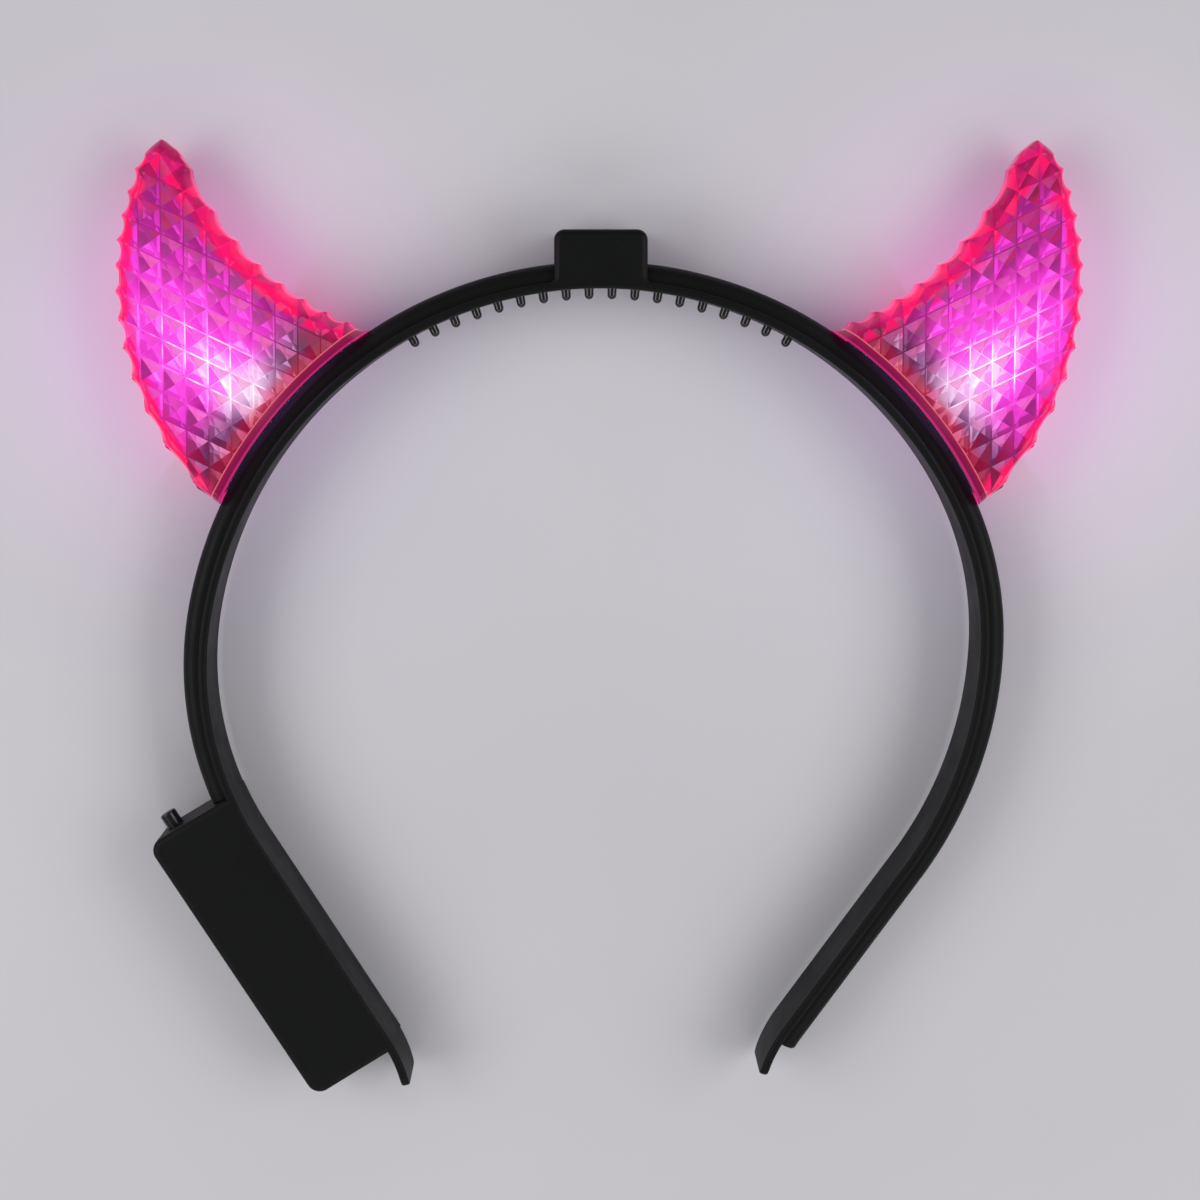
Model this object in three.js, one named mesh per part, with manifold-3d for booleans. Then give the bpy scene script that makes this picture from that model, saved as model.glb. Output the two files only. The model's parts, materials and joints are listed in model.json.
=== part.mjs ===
// Light-up horns headband, lying on its back.
// X runs across the head, Y from the arm tips to the horns, and Z from back to front, in millimetres.
// While it is drawn, the centre of the crown's arc is at X = 0, Y = 0; the last lines move the origin.

import * as THREE from 'three';
import { mergeVertices } from 'three/addons/utils/BufferGeometryUtils.js';
import Module from 'manifold-3d';

const wasm = await Module();
wasm.setup();

// Clearance between neighbouring pieces, and the plane through the middle of the strip's depth
const GAP = 0.3;
const MID_Z = 8;

// Band strip
const STRIP_DEPTH = 14;
const STRIP_THICKNESS = 1.6;
const STRIP_EDGE_CHAMFER = 0.4;
const STRIP_STEP = 5;
const TIP_CORNER_RADIUS = 4.5;
const TIP_CORNER_SIDES = 6;

// Outer face of the strip from the crown to each tip, a row for each stretch.
// An arc has a radius and a turn in degrees, inward when positive; a straight has a length.
const LEFT_ARM = [
  { stretch: 'crown', radius: 74, turn: 33.4 },
  { stretch: 'temple', radius: 75.8, turn: 45.7 },
  { stretch: 'cheek', radius: 61.2, turn: 43 },
  { stretch: 'jaw', length: 45 },
  { stretch: 'flare', radius: 27, turn: -20 },
];
const RIGHT_ARM = [
  { stretch: 'crown', radius: 74, turn: 60 },
  { stretch: 'temple', radius: 60, turn: 31.3 },
  { stretch: 'cheek', radius: 75.3, turn: 34.3 },
  { stretch: 'jaw', length: 38.5 },
  { stretch: 'flare', radius: 27, turn: -20 },
];
const CROWN_RADIUS = RIGHT_ARM[0].radius;

// Comb teeth, in one row under the crown
const TOOTH_COUNT = 18;
const TOOTH_PITCH_DEGREES = 3.38;
const TOOTH_RADIUS = 0.85;
const TOOTH_LENGTH = 2;
const TOOTH_ROOT = 0.6;
const TOOTH_SIDES = 10;

// Wire cover, a rounded rib on the strip's outer face; on the right it ends a little past the jaw
const RIB_HEIGHT = 3.3;
const RIB_WIDTH = 10.4;
const RIB_SHOULDER = 2.4;
const RIB_SHOULDER_STEPS = 4;
const RIB_PAST_JAW = 3;

// Box on the crown
const BOX_WIDTH = 17;
const BOX_TOP = 83;
const BOX_CORNER_RADIUS = 1.6;
const BOX_BEVEL = 0.6;

// Battery case on the left arm; it starts above the straight stretch and stands out from the strip
const CASE_LENGTH = 57.5;
const CASE_WIDTH = 16.2;
const CASE_DEPTH = 15;
const CASE_LEAD = 10.6;
const CASE_CORNER_RADIUS = 2.6;
const CASE_BEVEL = 0.7;

// Push button on the upper end of the case
const BUTTON_RADIUS = 1.6;
const BUTTON_HEIGHT = 3;
const BUTTON_SHANK = 3.2;
const BUTTON_CHAMFER = 0.35;
const BUTTON_FROM_STRIP = 11.6;
const BUTTON_TRAVEL = 1.2;
const BUTTON_SIDES = 16;

// Horn outline: inside the outer circle, outside the inner circle, with a round tip
const HORN_OUTER = { x: 33.3, y: 73.1, radius: 54.6, from: -62 };
const HORN_INNER = { x: 26.2, y: 115.5, radius: 54, to: -85 };
const HORN_TIP_RADIUS = 3.2;
const HORN_WALL = 2;
const HORN_RIM = 1.6;

// Side wall's share of the horn's depth, and the border that leads from the wall to each face:
// distance in from the outline, and share of the way up to the face
const HORN_SIDE_SHARE = 0.5;
const HORN_BORDER = [
  { inset: 0, rise: 0 },
  { inset: 1.2, rise: 0.6 },
  { inset: 2.7, rise: 1 },
];

// Half of the horn's depth, at the base and at the tip's distance from the crown's centre
const HORN_BASE_DEPTH = { distance: 78, half: 8 };
const HORN_TIP_DEPTH = { distance: 126, half: 4.6 };

// Field of four-sided recesses: upright ridges, and slanting ones that drop towards the crown
const CELL_WIDTH = 4.12;
const CELL_HEIGHT = 4.77;
const CELL_DROP = 1.97;
const CELL_RECESS = 0.9;
const CELL_ORIGIN = { x: 83.8, y: 79.4 };
const EDGE_SPIKE = 0.7;

// Lamp and the plug that carries it
const LAMP_ANGLE_DEGREES = 50.5;
const LAMP_RADIUS = 2.5;
const LAMP_FLANGE_RADIUS = 2.9;
const LAMP_FLANGE_HEIGHT = 1;
const LAMP_HEIGHT = 5.6;
const LAMP_SIDES = 12;
const LAMP_DOME_STEPS = 4;
const SEAT_HEIGHT = 2.6;

// Reach of the blanks that are cut down to a piece
const BLANK = 20;

const blackPlastic = () => new THREE.MeshStandardMaterial({ color: '#1c1e1e', roughness: 0.45, metalness: 0 });
const blackGloss = () => new THREE.MeshStandardMaterial({ color: '#101111', roughness: 0.25, metalness: 0 });
const pinkJelly = () => new THREE.MeshStandardMaterial({
  color: '#ff2f9e', emissive: '#c2107a', roughness: 0.2, metalness: 0, transparent: true, opacity: 0.7,
});
const plainPlug = () => new THREE.MeshStandardMaterial({ color: '#e8d5e0', roughness: 0.6, metalness: 0 });
const lampLens = () => new THREE.MeshStandardMaterial({
  color: '#ffffff', emissive: '#ffd9f2', roughness: 0.15, metalness: 0,
});

// Path of the strip's outer face

function armStretches(rows) {
  let x = 0;
  let y = CROWN_RADIUS;
  let heading = 0;
  let start = 0;
  return rows.map((row) => {
    const turn = -THREE.MathUtils.degToRad(row.turn ?? 0);
    const length = row.length ?? Math.abs(row.radius * turn);
    const stretch = { x, y, heading, start, length, bend: turn / length };
    const end = alongStretch(stretch, length);
    x = end.x;
    y = end.y;
    heading = end.heading;
    start += length;
    return stretch;
  });
}

function alongStretch(stretch, distance) {
  const { bend } = stretch;
  const heading = stretch.heading + bend * distance;
  if (bend === 0) {
    return {
      x: stretch.x + distance * Math.cos(heading),
      y: stretch.y + distance * Math.sin(heading),
      heading,
    };
  }
  return {
    x: stretch.x + (Math.sin(heading) - Math.sin(stretch.heading)) / bend,
    y: stretch.y - (Math.cos(heading) - Math.cos(stretch.heading)) / bend,
    heading,
  };
}

// Each arm is worked out on the right-hand side; sign says on which side it is then put.
const ARMS = {
  left: { sign: -1, stretches: armStretches(LEFT_ARM) },
  right: { sign: 1, stretches: armStretches(RIGHT_ARM) },
};
for (const arm of Object.values(ARMS)) {
  const last = arm.stretches.at(-1);
  arm.length = last.start + last.length;
}

// Point of an arm drawn on the right-hand side, a distance from the crown and an offset outward
function armPoint(arm, distance, offset = 0) {
  const stretch = arm.stretches.findLast((row) => row.start <= distance) ?? arm.stretches[0];
  const { x, y, heading } = alongStretch(stretch, distance - stretch.start);
  return new THREE.Vector2(x - offset * Math.sin(heading), y + offset * Math.cos(heading));
}

// The band's path in its true place; distances on the left arm are negative
class BandCurve extends THREE.Curve {
  constructor(from, to) {
    super();
    this.from = from;
    this.to = to;
  }

  getPoint(t, target = new THREE.Vector3()) {
    const distance = THREE.MathUtils.lerp(this.from, this.to, t);
    const arm = distance < 0 ? ARMS.left : ARMS.right;
    const point = armPoint(arm, Math.abs(distance));
    return target.set(arm.sign * point.x, point.y, MID_Z);
  }
}

// Solids

function toSolid(geometry) {
  const bare = geometry.index ? geometry.clone() : geometry;
  bare.deleteAttribute('normal');
  bare.deleteAttribute('uv');
  const merged = mergeVertices(bare, 1e-4);
  const mesh = new wasm.Mesh({
    numProp: 3,
    vertProperties: new Float32Array(merged.attributes.position.array),
    triVerts: new Uint32Array(merged.index.array),
  });
  return new wasm.Manifold(mesh);
}

function toGeometry(solid) {
  const { vertProperties, triVerts } = solid.getMesh();
  const geometry = new THREE.BufferGeometry();
  geometry.setAttribute('position', new THREE.BufferAttribute(vertProperties, 3));
  geometry.setIndex(new THREE.BufferAttribute(triVerts, 1));
  geometry.computeVertexNormals();
  return geometry;
}

function mirrorX(geometry) {
  const { position } = geometry.attributes;
  for (let i = 0; i < position.count; i += 1) {
    position.setX(i, -position.getX(i));
  }
  const { array } = geometry.index;
  for (let i = 0; i < array.length; i += 3) {
    [array[i], array[i + 1]] = [array[i + 1], array[i]];
  }
  geometry.computeVertexNormals();
  return geometry;
}

// Upright prism over a closed outline, centred on Z = 0
function prism(points, half = BLANK) {
  const geometry = new THREE.ExtrudeGeometry(new THREE.Shape(points), { depth: 2 * half, bevelEnabled: false });
  geometry.translate(0, 0, -half);
  return toSolid(geometry);
}

function piece(name, geometry, material) {
  const mesh = new THREE.Mesh(geometry, material);
  mesh.name = name;
  return mesh;
}

// Sweep of a section along part of the band; the section's Y points outward
function sweep(section, from, to) {
  const steps = Math.ceil((to - from) / STRIP_STEP);
  const extrudePath = new BandCurve(from, to);
  extrudePath.arcLengthDivisions = 4 * steps;
  return new THREE.ExtrudeGeometry(section, { steps, extrudePath });
}

// Band strip with its comb teeth

function stripSection() {
  const half = STRIP_DEPTH / 2;
  const cut = STRIP_EDGE_CHAMFER;
  const inner = -STRIP_THICKNESS;
  return new THREE.Shape([
    new THREE.Vector2(-half, inner + cut),
    new THREE.Vector2(-half + cut, inner),
    new THREE.Vector2(half - cut, inner),
    new THREE.Vector2(half, inner + cut),
    new THREE.Vector2(half, -cut),
    new THREE.Vector2(half - cut, 0),
    new THREE.Vector2(-half + cut, 0),
    new THREE.Vector2(-half, -cut),
  ]);
}

// Waste outside a tip's two round corners, in a frame with X along the arm and Y up, ending at X = 0
function tipWaste() {
  const half = STRIP_DEPTH / 2;
  const reach = BLANK;
  const corner = [];
  for (let i = 0; i <= TIP_CORNER_SIDES; i += 1) {
    const angle = (Math.PI / 2) * (i / TIP_CORNER_SIDES);
    corner.push(new THREE.Vector2(
      TIP_CORNER_RADIUS * (Math.cos(angle) - 1),
      half - TIP_CORNER_RADIUS + TIP_CORNER_RADIUS * Math.sin(angle),
    ));
  }
  const upper = [...corner, new THREE.Vector2(-TIP_CORNER_RADIUS, reach), new THREE.Vector2(reach, reach),
    new THREE.Vector2(reach, 0), new THREE.Vector2(0, 0)];
  const lower = upper.map((point) => new THREE.Vector2(point.x, -point.y));
  return prism(upper).add(prism(lower.reverse()));
}

// The waste turned to stand across the tip of one arm
function tipCutter(arm) {
  const end = armPoint(arm, arm.length);
  const before = armPoint(arm, arm.length - 1);
  const along = new THREE.Vector3(arm.sign * (end.x - before.x), end.y - before.y, 0).normalize();
  const up = new THREE.Vector3(0, 0, 1);
  const across = along.clone().cross(up);
  const place = new THREE.Matrix4().makeBasis(along, up, across);
  place.setPosition(arm.sign * end.x, end.y, MID_Z);
  return toSolid(toGeometry(tipWaste()).applyMatrix4(place));
}

function tooth(angle) {
  const profile = [new THREE.Vector2(0, -TOOTH_LENGTH)];
  for (const lift of [30, 60, 90]) {
    const turn = THREE.MathUtils.degToRad(lift);
    profile.push(new THREE.Vector2(
      TOOTH_RADIUS * Math.sin(turn),
      -TOOTH_LENGTH + TOOTH_RADIUS * (1 - Math.cos(turn)),
    ));
  }
  profile.push(new THREE.Vector2(TOOTH_RADIUS, TOOTH_ROOT), new THREE.Vector2(0, TOOTH_ROOT));
  const geometry = new THREE.LatheGeometry(profile, TOOTH_SIDES);
  geometry.translate(0, CROWN_RADIUS - STRIP_THICKNESS, 0);
  geometry.rotateZ(-angle);
  geometry.translate(0, 0, MID_Z);
  return toSolid(geometry);
}

function makeBand() {
  let solid = toSolid(sweep(stripSection(), -ARMS.left.length, ARMS.right.length));
  for (const arm of Object.values(ARMS)) {
    solid = solid.subtract(tipCutter(arm));
  }
  const first = -TOOTH_PITCH_DEGREES * (TOOTH_COUNT - 1) / 2;
  for (let i = 0; i < TOOTH_COUNT; i += 1) {
    solid = solid.add(tooth(THREE.MathUtils.degToRad(first + i * TOOTH_PITCH_DEGREES)));
  }
  return piece('band', toGeometry(solid), blackPlastic());
}

// Wire covers

function ribSection() {
  const half = RIB_WIDTH / 2;
  const points = [new THREE.Vector2(-half, GAP), new THREE.Vector2(half, GAP)];
  for (const side of [1, -1]) {
    for (let i = 0; i <= RIB_SHOULDER_STEPS; i += 1) {
      const step = side > 0 ? i : RIB_SHOULDER_STEPS - i;
      const angle = (Math.PI / 2) * (step / RIB_SHOULDER_STEPS);
      points.push(new THREE.Vector2(
        side * (half - RIB_SHOULDER + RIB_SHOULDER * Math.cos(angle)),
        RIB_HEIGHT - RIB_SHOULDER + RIB_SHOULDER * Math.sin(angle),
      ));
    }
  }
  return new THREE.Shape(points);
}

function straightStart(arm) {
  return arm.stretches[3].start;
}

function makeWireCovers() {
  const besideBox = BOX_WIDTH / 2 + GAP;
  const start = CROWN_RADIUS * Math.asin(besideBox / CROWN_RADIUS);
  const leftEnd = straightStart(ARMS.left) - CASE_LEAD - GAP;
  const rightEnd = ARMS.right.stretches[4].start + RIB_PAST_JAW;
  return [
    piece('wire_cover_left', sweep(ribSection(), -leftEnd, -start), blackPlastic()),
    piece('wire_cover_right', sweep(ribSection(), start, rightEnd), blackPlastic()),
  ];
}

// Box on the crown

function makeControllerBox() {
  const half = BOX_WIDTH / 2;
  const radius = CROWN_RADIUS + GAP;
  const swing = Math.asin(half / radius);
  const round = BOX_CORNER_RADIUS;
  const shape = new THREE.Shape();
  shape.moveTo(half, radius * Math.cos(swing));
  shape.lineTo(half, BOX_TOP - round);
  shape.absarc(half - round, BOX_TOP - round, round, 0, Math.PI / 2, false);
  shape.lineTo(-half + round, BOX_TOP);
  shape.absarc(-half + round, BOX_TOP - round, round, Math.PI / 2, Math.PI, false);
  shape.lineTo(-half, radius * Math.cos(swing));
  shape.absarc(0, 0, radius, Math.PI / 2 + swing, Math.PI / 2 - swing, true);
  const geometry = new THREE.ExtrudeGeometry(shape, {
    depth: STRIP_DEPTH - 2 * BOX_BEVEL,
    curveSegments: 5,
    bevelThickness: BOX_BEVEL,
    bevelSize: BOX_BEVEL,
    bevelOffset: -BOX_BEVEL,
    bevelSegments: 2,
  });
  geometry.translate(0, 0, MID_Z - STRIP_DEPTH / 2 + BOX_BEVEL);
  return piece('controller_box', geometry, blackPlastic());
}

// Battery case and its button, in a frame with X down the left arm and Y towards the head

function caseFrame() {
  const arm = ARMS.left;
  const start = armPoint(arm, straightStart(arm));
  const next = armPoint(arm, straightStart(arm) + 1);
  const group = new THREE.Group();
  group.position.set(-start.x, start.y, 0);
  group.rotation.z = Math.atan2(next.y - start.y, start.x - next.x);
  return group;
}

function caseOutline() {
  const top = -CASE_LEAD;
  const end = top + CASE_LENGTH;
  const inner = -GAP;
  const outer = -GAP - CASE_WIDTH;
  const round = CASE_CORNER_RADIUS;
  const shape = new THREE.Shape();
  shape.moveTo(top, inner);
  shape.lineTo(top, outer + round);
  shape.absarc(top + round, outer + round, round, Math.PI, 1.5 * Math.PI, false);
  shape.lineTo(end - round, outer);
  shape.absarc(end - round, outer + round, round, 1.5 * Math.PI, 2 * Math.PI, false);
  shape.lineTo(end, inner);
  return shape;
}

function buttonSocket() {
  const radius = BUTTON_RADIUS + GAP;
  const depth = BUTTON_SHANK + BUTTON_TRAVEL + GAP;
  const geometry = new THREE.CylinderGeometry(radius, radius, 2 * depth, BUTTON_SIDES);
  geometry.rotateZ(Math.PI / 2);
  geometry.translate(-CASE_LEAD, -BUTTON_FROM_STRIP, CASE_DEPTH / 2);
  return toSolid(geometry);
}

function makeBatteryCase() {
  const geometry = new THREE.ExtrudeGeometry(caseOutline(), {
    depth: CASE_DEPTH - 2 * CASE_BEVEL,
    curveSegments: 5,
    bevelThickness: CASE_BEVEL,
    bevelSize: CASE_BEVEL,
    bevelOffset: -CASE_BEVEL,
    bevelSegments: 2,
  });
  geometry.translate(0, 0, CASE_BEVEL);
  return piece('battery_case', toGeometry(toSolid(geometry).subtract(buttonSocket())), blackPlastic());
}

function makeButton() {
  const rim = BUTTON_RADIUS - BUTTON_CHAMFER;
  const profile = [
    new THREE.Vector2(0, -BUTTON_SHANK),
    new THREE.Vector2(BUTTON_RADIUS, -BUTTON_SHANK),
    new THREE.Vector2(BUTTON_RADIUS, BUTTON_HEIGHT - BUTTON_CHAMFER),
    new THREE.Vector2(rim, BUTTON_HEIGHT),
    new THREE.Vector2(0, BUTTON_HEIGHT),
  ];
  const mesh = piece('switch_button', new THREE.LatheGeometry(profile, BUTTON_SIDES), blackGloss());
  mesh.rotation.z = Math.PI / 2;
  mesh.position.set(-CASE_LEAD, -BUTTON_FROM_STRIP, CASE_DEPTH / 2);
  return mesh;
}

// Horns, drawn on the right-hand side with their middle plane at Z = 0

function onCircle(circle, degrees, offset = 0) {
  const angle = THREE.MathUtils.degToRad(degrees);
  const radius = circle.radius + offset;
  return new THREE.Vector2(circle.x + radius * Math.cos(angle), circle.y + radius * Math.sin(angle));
}

// The round tip touches the outer circle from inside and the inner circle from outside.
function tipCircle() {
  const toOuter = HORN_OUTER.radius - HORN_TIP_RADIUS;
  const toInner = HORN_INNER.radius + HORN_TIP_RADIUS;
  const dx = HORN_INNER.x - HORN_OUTER.x;
  const dy = HORN_INNER.y - HORN_OUTER.y;
  const apart = Math.hypot(dx, dy);
  const along = (apart ** 2 + toOuter ** 2 - toInner ** 2) / (2 * apart);
  const aside = Math.sqrt(toOuter ** 2 - along ** 2);
  const x = HORN_OUTER.x + (along * dx + aside * dy) / apart;
  const y = HORN_OUTER.y + (along * dy - aside * dx) / apart;
  const fromOuter = Math.atan2(y - HORN_OUTER.y, x - HORN_OUTER.x);
  const towardInner = Math.atan2(HORN_INNER.y - y, HORN_INNER.x - x);
  return {
    x,
    y,
    radius: HORN_TIP_RADIUS,
    from: THREE.MathUtils.radToDeg(fromOuter),
    to: THREE.MathUtils.radToDeg(towardInner),
  };
}
const HORN_TIP = tipCircle();

// Place in the field of recesses; a whole number is on a ridge
const columnAt = (point) => (CELL_ORIGIN.x - point.x) / CELL_WIDTH;
const rowAt = (point) => (point.y - CELL_ORIGIN.y + CELL_DROP * columnAt(point)) / CELL_HEIGHT;

// Arc of the outline: a point on each ridge that meets it and one halfway between; the ridges stand out
function ridgedArc(circle, from, to, placeAt, inset, spike) {
  const fine = 400;
  const outward = circle === HORN_INNER ? -1 : 1;
  const points = [onCircle(circle, from, -outward * inset)];
  let before = Math.floor(2 * placeAt(onCircle(circle, from)));
  for (let i = 1; i < fine; i += 1) {
    const degrees = THREE.MathUtils.lerp(from, to, i / fine);
    const place = Math.floor(2 * placeAt(onCircle(circle, degrees)));
    if (place !== before) {
      const onRidge = Math.max(place, before) % 2 === 0;
      points.push(onCircle(circle, degrees, outward * ((onRidge ? spike : 0) - inset)));
      before = place;
    }
  }
  points.push(onCircle(circle, to, -outward * inset));
  return points;
}

function hornOutline(inset = 0, spike = 0) {
  return [
    ...ridgedArc(HORN_OUTER, HORN_OUTER.from, HORN_TIP.from, rowAt, inset, spike),
    ...ridgedArc(HORN_TIP, HORN_TIP.from, HORN_TIP.to, columnAt, inset, spike).slice(1),
    ...ridgedArc(HORN_INNER, HORN_TIP.to - 180, HORN_INNER.to, columnAt, inset, spike).slice(1),
  ];
}

// Half of the horn's depth over a point of its plane
function hornHalfDepth(point) {
  const half = THREE.MathUtils.mapLinear(
    Math.hypot(point.x, point.y),
    HORN_BASE_DEPTH.distance,
    HORN_TIP_DEPTH.distance,
    HORN_BASE_DEPTH.half,
    HORN_TIP_DEPTH.half,
  );
  return Math.min(half, HORN_BASE_DEPTH.half);
}

// Closed solid through rings with as many points each, from the lowest ring to the highest
function loft(rings) {
  const count = rings[0].length;
  const top = (rings.length - 1) * count;
  const triangles = [];
  for (let start = 0; start < top; start += count) {
    for (let i = 0; i < count; i += 1) {
      const a = start + i;
      const b = start + (i + 1) % count;
      triangles.push(a, b, b + count, a, b + count, a + count);
    }
  }
  for (const [a, b, c] of THREE.ShapeUtils.triangulateShape([...rings[0]], [])) {
    triangles.push(a, c, b, top + a, top + b, top + c);
  }
  const geometry = new THREE.BufferGeometry();
  geometry.setFromPoints(rings.flat());
  geometry.setIndex(triangles);
  return toSolid(geometry);
}

// Side wall and borders of the horn, open to the field of cells in front and behind
function hornSkin(spike) {
  const { inset: width } = HORN_BORDER.at(-1);
  const ring = (inset, heightAt) => hornOutline(inset, spike * (1 - inset / width))
    .map((point) => new THREE.Vector3(point.x, point.y, heightAt(point)));
  const share = (rise) => THREE.MathUtils.lerp(HORN_SIDE_SHARE, 1, rise);
  const upper = HORN_BORDER.map(({ inset, rise }) => ring(inset, (point) => share(rise) * hornHalfDepth(point)));
  const lower = HORN_BORDER.map(({ inset, rise }) => ring(inset, (point) => -share(rise) * hornHalfDepth(point)));
  return loft([ring(width, () => -BLANK), ...lower.reverse(), ...upper, ring(width, () => BLANK)]);
}

// Blank that lies under the field of cells: ridges at the horn's smooth face, each cell's centre sunk in.
// A side of -1 turns it over to lie above the back face; a smooth blank has coarser cells and no recess.
function fieldBlank(side, sink, smooth) {
  const step = smooth ? 2 : 1;
  const recess = smooth ? 0 : CELL_RECESS;
  const columns = { first: -2, last: 14 };
  const rows = { first: -9, last: 7 };
  const across = (columns.last - columns.first) / step + 1;
  const up = (rows.last - rows.first) / step + 1;
  const corners = across * up;
  const positions = [];
  const triangles = [];
  const place = (i, j) => {
    const column = columns.first + i * step;
    const row = rows.first + j * step;
    return new THREE.Vector2(
      CELL_ORIGIN.x - CELL_WIDTH * column,
      CELL_ORIGIN.y + CELL_HEIGHT * row - CELL_DROP * column,
    );
  };
  const addPoint = (point, z) => positions.push(point.x, point.y, side * z);
  const triangle = (a, b, c) => triangles.push(...(side > 0 ? [a, b, c] : [a, c, b]));
  const quad = (a, b, c, d) => {
    triangle(a, b, c);
    triangle(a, c, d);
  };
  for (const level of ['face', 'floor']) {
    for (let j = 0; j < up; j += 1) {
      for (let i = 0; i < across; i += 1) {
        const point = place(i, j);
        addPoint(point, level === 'face' ? hornHalfDepth(point) - sink : -BLANK);
      }
    }
  }
  for (let j = 0; j < up - 1; j += 1) {
    for (let i = 0; i < across - 1; i += 1) {
      const corner = [j * across + i, j * across + i + 1, (j + 1) * across + i + 1, (j + 1) * across + i];
      const centre = positions.length / 3;
      const point = place(i + 0.5, j + 0.5);
      addPoint(point, hornHalfDepth(point) - sink - recess);
      for (let k = 0; k < 4; k += 1) {
        triangle(corner[(k + 1) % 4], corner[k], centre);
      }
      const [a, b, c, d] = corner.map((index) => index + corners);
      quad(a, b, c, d);
    }
  }
  const wall = (a, b) => quad(b, a, a + corners, b + corners);
  for (let i = 0; i < across - 1; i += 1) {
    wall(i + 1, i);
    wall((up - 1) * across + i, (up - 1) * across + i + 1);
  }
  for (let j = 0; j < up - 1; j += 1) {
    wall(j * across, (j + 1) * across);
    wall((j + 2) * across - 1, (j + 1) * across - 1);
  }
  const geometry = new THREE.BufferGeometry();
  geometry.setAttribute('position', new THREE.Float32BufferAttribute(positions, 3));
  geometry.setIndex(triangles);
  return toSolid(geometry);
}

// What of a solid lies between the two fields
function betweenFields(solid, sink, smooth) {
  return solid.intersect(fieldBlank(1, sink, smooth)).intersect(fieldBlank(-1, sink, smooth));
}

// Prism over the stretch of one arm that is under the horn, between two heights over the strip
function overStrip(arm, low, high) {
  const from = 25;
  const to = 110;
  const steps = 24;
  const distances = Array.from({ length: steps + 1 }, (_, i) => THREE.MathUtils.lerp(from, to, i / steps));
  const upper = distances.map((distance) => armPoint(arm, distance, high));
  const lower = distances.map((distance) => armPoint(arm, distance, low));
  return prism([...upper, ...lower.reverse()]);
}

const HORN_BASE = RIB_HEIGHT + GAP;

function hornSolid(arm) {
  const belowBase = overStrip(arm, -2 * BLANK, HORN_BASE);
  const rim = betweenFields(hornSkin(0), 0, true).intersect(overStrip(arm, HORN_BASE, HORN_BASE + HORN_RIM));
  const cavity = betweenFields(prism(hornOutline(HORN_WALL)), HORN_WALL, true);
  return betweenFields(hornSkin(EDGE_SPIKE), 0, false).add(rim).subtract(cavity).subtract(belowBase);
}

function seatSolid(arm) {
  const inset = HORN_WALL + GAP;
  return betweenFields(prism(hornOutline(inset)), inset, true)
    .intersect(overStrip(arm, HORN_BASE, HORN_BASE + SEAT_HEIGHT));
}

function makeHorn(side) {
  const arm = ARMS[side];
  const parts = [
    piece(`horn_${side}`, toGeometry(hornSolid(arm)), pinkJelly()),
    piece(`horn_seat_${side}`, toGeometry(seatSolid(arm)), plainPlug()),
  ];
  for (const mesh of parts) {
    if (arm.sign < 0) {
      mirrorX(mesh.geometry);
    }
    mesh.position.z = MID_Z;
  }
  return [...parts, makeLamp(side)];
}

function makeLamp(side) {
  const arm = ARMS[side];
  const profile = [
    new THREE.Vector2(0, 0),
    new THREE.Vector2(LAMP_FLANGE_RADIUS, 0),
    new THREE.Vector2(LAMP_FLANGE_RADIUS, LAMP_FLANGE_HEIGHT),
    new THREE.Vector2(LAMP_RADIUS, LAMP_FLANGE_HEIGHT),
  ];
  for (let i = 0; i <= LAMP_DOME_STEPS; i += 1) {
    const angle = (Math.PI / 2) * (i / LAMP_DOME_STEPS);
    profile.push(new THREE.Vector2(
      i === LAMP_DOME_STEPS ? 0 : LAMP_RADIUS * Math.cos(angle),
      LAMP_HEIGHT - LAMP_RADIUS + LAMP_RADIUS * Math.sin(angle),
    ));
  }
  const mesh = piece(`led_${side}`, new THREE.LatheGeometry(profile, LAMP_SIDES), lampLens());
  const distance = CROWN_RADIUS * THREE.MathUtils.degToRad(LAMP_ANGLE_DEGREES);
  const foot = armPoint(arm, distance, HORN_BASE + SEAT_HEIGHT + GAP);
  const above = armPoint(arm, distance, HORN_BASE + SEAT_HEIGHT + GAP + 1);
  mesh.position.set(arm.sign * foot.x, foot.y, MID_Z);
  mesh.rotation.z = -arm.sign * Math.atan2(above.x - foot.x, above.y - foot.y);
  return mesh;
}

// Whole headband

const headband = new THREE.Group();
headband.name = 'light_up_horns_headband';
const caseGroup = caseFrame();
caseGroup.add(makeBatteryCase(), makeButton());
headband.add(makeBand(), ...makeWireCovers(), makeControllerBox(), caseGroup);
headband.add(...makeHorn('left'), ...makeHorn('right'));

// The origin goes to the middle of the footprint, on the surface that it lies on.
headband.updateMatrixWorld(true);
const box = new THREE.Box3().setFromObject(headband, true);
headband.position.set(-(box.min.x + box.max.x) / 2, -(box.min.y + box.max.y) / 2, -box.min.z);
headband.updateMatrixWorld(true);

export default headband;
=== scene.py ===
"""Light-up horns headband, dressed in its finishes and lying on a pale studio floor.

Sizes are in millimetres in the drawing frame, whose origin is the centre of the crown's arc. The
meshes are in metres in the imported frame, with X across the head, Y from the arm tips to the horns
and Z from back to front.
"""

from __future__ import annotations

import json
import logging
import math
import random
from dataclasses import dataclass, replace
from enum import Enum
from functools import cached_property, partial
from typing import Any, Sequence

import bmesh
import bpy
from mathutils import Matrix, Vector
from mathutils.geometry import delaunay_2d_cdt


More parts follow.
